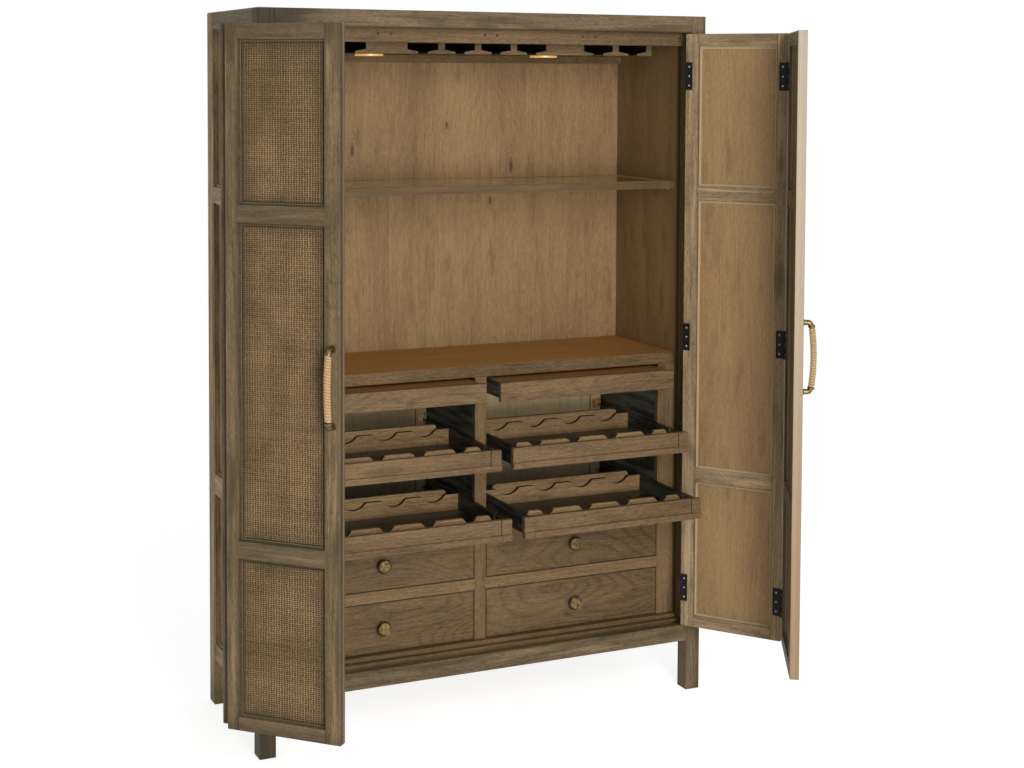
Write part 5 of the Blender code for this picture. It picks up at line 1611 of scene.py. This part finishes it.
# What the lamps point at, and where they are from the middle of the cabinet's front
LAMPS_AIM = (0.0, 0.2, 1.0)
HIGH_LAMP = (-0.5, -5.2, 3.0)
LOW_LAMP = (-0.9, -5.2, 1.1)
HIGH_LAMP_SIZE = 2.5
LOW_LAMP_SIZE = 1.6
LOW_LAMP_SHARE = 0.8


def new_camera():
    """The camera that the photo was taken with, as far as the cabinet's corners tell."""
    data = bpy.data.cameras.new("photo_camera")
    data.sensor_width = SENSOR_WIDTH
    data.lens = FOCAL_PIXELS / IMAGE_WIDTH * data.sensor_width
    data.shift_y = (HORIZON_ROW - IMAGE_HEIGHT / 2) / IMAGE_WIDTH
    camera = bpy.data.objects.new("photo_camera", data)
    bpy.context.scene.collection.objects.link(camera)
    look = Vector((
        math.sin(CAMERA_YAW) * math.cos(CAMERA_PITCH),
        math.cos(CAMERA_YAW) * math.cos(CAMERA_PITCH),
        math.sin(CAMERA_PITCH),
    ))
    level = Vector((math.cos(CAMERA_YAW), -math.sin(CAMERA_YAW), 0.0))
    up = level.cross(look)
    right = level * math.cos(CAMERA_ROLL) + up * math.sin(CAMERA_ROLL)
    up = up * math.cos(CAMERA_ROLL) - level * math.sin(CAMERA_ROLL)
    turned = Matrix((right, up, -look)).transposed().to_4x4()
    camera.matrix_world = Matrix.Translation(CAMERA_PLACE) @ turned
    bpy.context.scene.camera = camera


def new_lamp(name, place, aim, size, power):
    """A round soft lamp, with its place and aim taken from the middle of the cabinet's front."""
    front = Vector((CABINET_X, CABINET_Y, 0.0))
    data = bpy.data.lights.new(name, "AREA")
    data.shape = "DISK"
    data.size = size
    data.energy = power
    lamp = bpy.data.objects.new(name, data)
    bpy.context.scene.collection.objects.link(lamp)
    lamp.location = front + Vector(place)
    lamp.rotation_euler = (Vector(aim) - Vector(place)).to_track_quat("-Z", "Y").to_euler()


def new_world(strength):
    """White to the camera and in reflections, and soft light on everything else."""
    world = bpy.data.worlds.new("studio")
    bpy.context.scene.world = world
    world.use_nodes = True
    tree = world.node_tree
    background = tree.nodes["Background"]
    background.inputs["Color"].default_value = (1.0, 1.0, 1.0, 1.0)
    level = tree.nodes.new("ShaderNodeMapRange")
    level.inputs["To Min"].default_value = strength
    level.inputs["To Max"].default_value = 1.0
    tree.links.new(seen_share(tree), level.inputs["Value"])
    tree.links.new(level.outputs[0], background.inputs["Strength"])


def seen_share(tree):
    """1 for what the camera, reflections and glass show, and 0 for the light that falls on things."""
    rays = tree.nodes.new("ShaderNodeLightPath")
    share = rays.outputs["Is Camera Ray"]
    for name in ("Is Glossy Ray", "Is Transmission Ray"):
        larger = tree.nodes.new("ShaderNodeMath")
        larger.operation = "MAXIMUM"
        tree.links.new(share, larger.inputs[0])
        tree.links.new(rays.outputs[name], larger.inputs[1])
        share = larger.outputs[0]
    return share


def new_floor(colour):
    """Pale floor that shows as white, apart from the object's shadow."""
    form = bmesh.new()
    bmesh.ops.create_grid(form, x_segments=4, y_segments=4, size=FLOOR_HALF)
    mesh = bpy.data.meshes.new("studio_floor")
    form.to_mesh(mesh)
    form.free()
    finish = Finish("studio floor paint", 0.9)
    seen = Wire(finish, seen_share(finish.tree))
    finish.feed(
        Base_Color=finish.mix(seen, colour, FLOOR_SHOWN),
        Emission_Color=finish.mix(seen, (0.0, 0.0, 0.0), FLOOR_GLOW),
        Emission_Strength=1.0,
        Specular_IOR_Level=0.0,
    )
    mesh.materials.append(finish.material)
    floor = bpy.data.objects.new("studio_floor", mesh)
    bpy.context.scene.collection.objects.link(floor)


# Settings, operators and panel

def colour_setting(name, description, value):
    return bpy.props.FloatVectorProperty(
        name=name, description=description, subtype="COLOR", size=3, min=0.0, max=1.0, default=value)


class CabinetLooks(bpy.types.PropertyGroup):
    oak_pale: colour_setting("Oak, pale", "Pale tone of the outer frames", (0.205, 0.143, 0.076))
    oak_dark: colour_setting("Oak, dark", "Dark tone of the outer frames", (0.062, 0.042, 0.021))
    inner_oak_pale: colour_setting(
        "Inner oak, pale", "Pale tone of the drawers, racks and inner frame", (0.200, 0.127, 0.058))
    inner_oak_dark: colour_setting(
        "Inner oak, dark", "Dark tone of the drawers, racks and inner frame", (0.064, 0.039, 0.017))
    inner_leaf_pale: colour_setting(
        "Door inside, pale", "Pale tone of the door frames' inner faces", (0.38, 0.272, 0.150))
    inner_leaf_dark: colour_setting(
        "Door inside, dark", "Dark tone of the door frames' inner faces", (0.125, 0.084, 0.042))
    door_veneer_pale: colour_setting(
        "Door panel, pale", "Pale tone of the door panels' inner faces", (0.35, 0.225, 0.105))
    door_veneer_dark: colour_setting(
        "Door panel, dark", "Dark tone of the door panels' inner faces", (0.20, 0.124, 0.054))
    veneer_pale: colour_setting("Veneer, pale", "Pale tone of the inner panels", (0.315, 0.200, 0.092))
    veneer_dark: colour_setting("Veneer, dark", "Dark tone of the inner panels", (0.165, 0.100, 0.042))
    bay_back_pale: colour_setting("Bay back, pale", "Pale tone of the back of the bays", (0.74, 0.56, 0.32))
    bay_back_dark: colour_setting("Bay back, dark", "Dark tone of the back of the bays", (0.50, 0.36, 0.19))
    counter_pale: colour_setting("Counter, pale", "Pale tone of the counter", (0.45, 0.216, 0.056))
    counter_dark: colour_setting("Counter, dark", "Dark tone of the counter", (0.265, 0.122, 0.028))
    woven_pale: colour_setting("Weave, pale", "Pale strands of the door panels", (0.335, 0.218, 0.098))
    woven_dark: colour_setting("Weave, dark", "Dark strands of the door panels", (0.120, 0.075, 0.032))
    rope_pale: colour_setting("Rope, pale", "Pale fibres of the handle rope", (0.66, 0.45, 0.215))
    rope_dark: colour_setting("Rope, dark", "Shaded fibres of the handle rope", (0.14, 0.08, 0.03))
    brass: colour_setting("Brass", "Aged brass of the knobs and handle ends", (0.26, 0.19, 0.075))
    floor: colour_setting("Floor", "Colour of the studio floor", (0.98, 0.98, 0.98))
    weave_across: bpy.props.FloatProperty(
        name="Weave across", description="Width of one cell of the weave",
        default=0.0076, min=0.001, subtype="DISTANCE", unit="LENGTH")
    weave_up: bpy.props.FloatProperty(
        name="Weave up", description="Height of one cell of the weave",
        default=0.0053, min=0.001, subtype="DISTANCE", unit="LENGTH")
    rope_turns: bpy.props.IntProperty(
        name="Rope turns", description="Turns of cord round each handle", default=22, min=5, max=80)
    rope_thickness: bpy.props.FloatProperty(
        name="Rope thickness", description="Diameter of the cord on the handles",
        default=0.0078, min=0.001, subtype="DISTANCE", unit="LENGTH")
    screw_radius: bpy.props.FloatProperty(
        name="Screw radius", description="Radius of the hinge screws' heads",
        default=0.0032, min=0.001, subtype="DISTANCE", unit="LENGTH")
    knob_radius: bpy.props.FloatProperty(
        name="Knob radius", description="Radius of the drawer knobs' heads",
        default=0.0212, min=0.005, subtype="DISTANCE", unit="LENGTH")
    light_strength: bpy.props.FloatProperty(
        name="Puck lights", description="Brightness of the round lights", default=0.8, min=0.0)
    lamp_power: bpy.props.FloatProperty(
        name="Lamp power", description="Power of the main studio lamp",
        default=150.0, min=0.0, subtype="POWER", unit="POWER")
    world_strength: bpy.props.FloatProperty(
        name="Soft light", description="Brightness of the soft light all round", default=0.38, min=0.0)


class CabinetOperator(bpy.types.Operator):
    bl_options = {"REGISTER", "UNDO"}

    @property
    def looks(self):
        return bpy.context.scene.cabinet_looks


class CABINET_OT_case(CabinetOperator):
    """Finish the posts, rails, panels, counter and shelf, and make the round lights"""
    bl_idname = "cabinet.case"
    bl_label = "Finish the case"

    def execute(self, context):
        finish_posts()
        for side in SIDES:
            finish_side(side + "_side")
            finish_inner_side(side + "_inner_side")
        for node in ("front_top_rail", "front_bottom_rail"):
            plain_timber(node, "X")
        for node in ("bottom_board", "upper_stop_rail"):
            plain_timber(node, "X", "inner_oak")
        plain_timber("top_panel", "X flat", "oak", 0.12)
        finish_back()
        finish_face_frame()
        finish_counter()
        finish_divider()
        finish_stemware()
        finish_shelf()
        puck_lights(LIGHT_THICKNESS)
        return {"FINISHED"}


class CABINET_OT_doors(CabinetOperator):
    """Finish the door leaves, their panels and hinges, and make the handles' brass ends"""
    bl_idname = "cabinet.doors"
    bl_label = "Finish the doors"

    def execute(self, context):
        for side in SIDES:
            for kind in STILES:
                finish_leaf_frame(side, kind)
                finish_leaf_panel(side, kind)
            for line in ("post", "fold"):
                for level in LEVELS:
                    finish_steel("%s_%s_hinge_%s" % (side, line, level))
            handle_ends(side)
        return {"FINISHED"}


class CABINET_OT_carriers(CabinetOperator):
    """Finish the drawers and trays, and make the knobs"""
    bl_idname = "cabinet.carriers"
    bl_label = "Finish the drawers and trays"

    def execute(self, context):
        for side in SIDES:
            finish_tray(side)
            for row in ROWS:
                finish_drawer(side, row)
                drawer_knob(side, row, self.looks.knob_radius)
        return {"FINISHED"}


class CABINET_OT_racks(CabinetOperator):
    """Make the wine racks with their notched and scooped boards"""
    bl_idname = "cabinet.racks"
    bl_label = "Make the wine racks"

    def execute(self, context):
        for side in SIDES:
            for row in ROWS:
                wine_rack(side, row)
        return {"FINISHED"}


class CABINET_OT_screws(CabinetOperator):
    """Add the screws of the hinges and of the stop strips"""
    bl_idname = "cabinet.screws"
    bl_label = "Add the screws"

    def execute(self, context):
        hinge_screws(self.looks.screw_radius)
        stop_screws(self.looks.screw_radius * 0.5)
        return {"FINISHED"}


class CABINET_OT_ropes(CabinetOperator):
    """Wind the cord round the handles"""
    bl_idname = "cabinet.ropes"
    bl_label = "Wind the handles"

    def execute(self, context):
        rope_grips(self.looks.rope_turns, self.looks.rope_thickness)
        return {"FINISHED"}


class CABINET_OT_slides(CabinetOperator):
    """Add the slides' rear brackets and rivets"""
    bl_idname = "cabinet.slides"
    bl_label = "Add the slide fittings"

    def execute(self, context):
        rear_brackets()
        slide_rivets()
        return {"FINISHED"}


class CABINET_OT_stage(CabinetOperator):
    """Set up the floor, lamps, world and camera"""
    bl_idname = "cabinet.stage"
    bl_label = "Set the stage"

    def execute(self, context):
        context.scene.view_settings.view_transform = "Standard"
        new_camera()
        new_world(self.looks.world_strength)
        new_floor(tuple(self.looks.floor))
        power = self.looks.lamp_power
        new_lamp("high_lamp", HIGH_LAMP, LAMPS_AIM, HIGH_LAMP_SIZE, power)
        new_lamp("low_lamp", LOW_LAMP, LAMPS_AIM, LOW_LAMP_SIZE, power * LOW_LAMP_SHARE)
        return {"FINISHED"}


class CABINET_PT_panel(bpy.types.Panel):
    bl_idname = "CABINET_PT_panel"
    bl_label = "Bar Cabinet"
    bl_space_type = "VIEW_3D"
    bl_region_type = "UI"
    bl_category = "Bar Cabinet"

    def draw(self, context):
        looks = context.scene.cabinet_looks
        column = self.layout.column(align=True)
        for name in CabinetLooks.__annotations__:
            column.prop(looks, name)
        for operator in OPERATORS:
            column.operator(operator.bl_idname)


OPERATORS = (
    CABINET_OT_case,
    CABINET_OT_doors,
    CABINET_OT_carriers,
    CABINET_OT_racks,
    CABINET_OT_screws,
    CABINET_OT_ropes,
    CABINET_OT_slides,
    CABINET_OT_stage,
)
CLASSES = (CabinetLooks, *OPERATORS, CABINET_PT_panel)


def register():
    for kind in CLASSES:
        bpy.utils.register_class(kind)
    bpy.types.Scene.cabinet_looks = bpy.props.PointerProperty(type=CabinetLooks)


def unregister():
    del bpy.types.Scene.cabinet_looks
    for kind in reversed(CLASSES):
        bpy.utils.unregister_class(kind)


def main():
    register()
    bpy.ops.cabinet.case()
    bpy.ops.cabinet.doors()
    bpy.ops.cabinet.carriers()
    bpy.ops.cabinet.racks()
    bpy.ops.cabinet.screws()
    bpy.ops.cabinet.ropes()
    bpy.ops.cabinet.slides()
    bpy.ops.cabinet.stage()


if __name__ == "__main__":
    main()
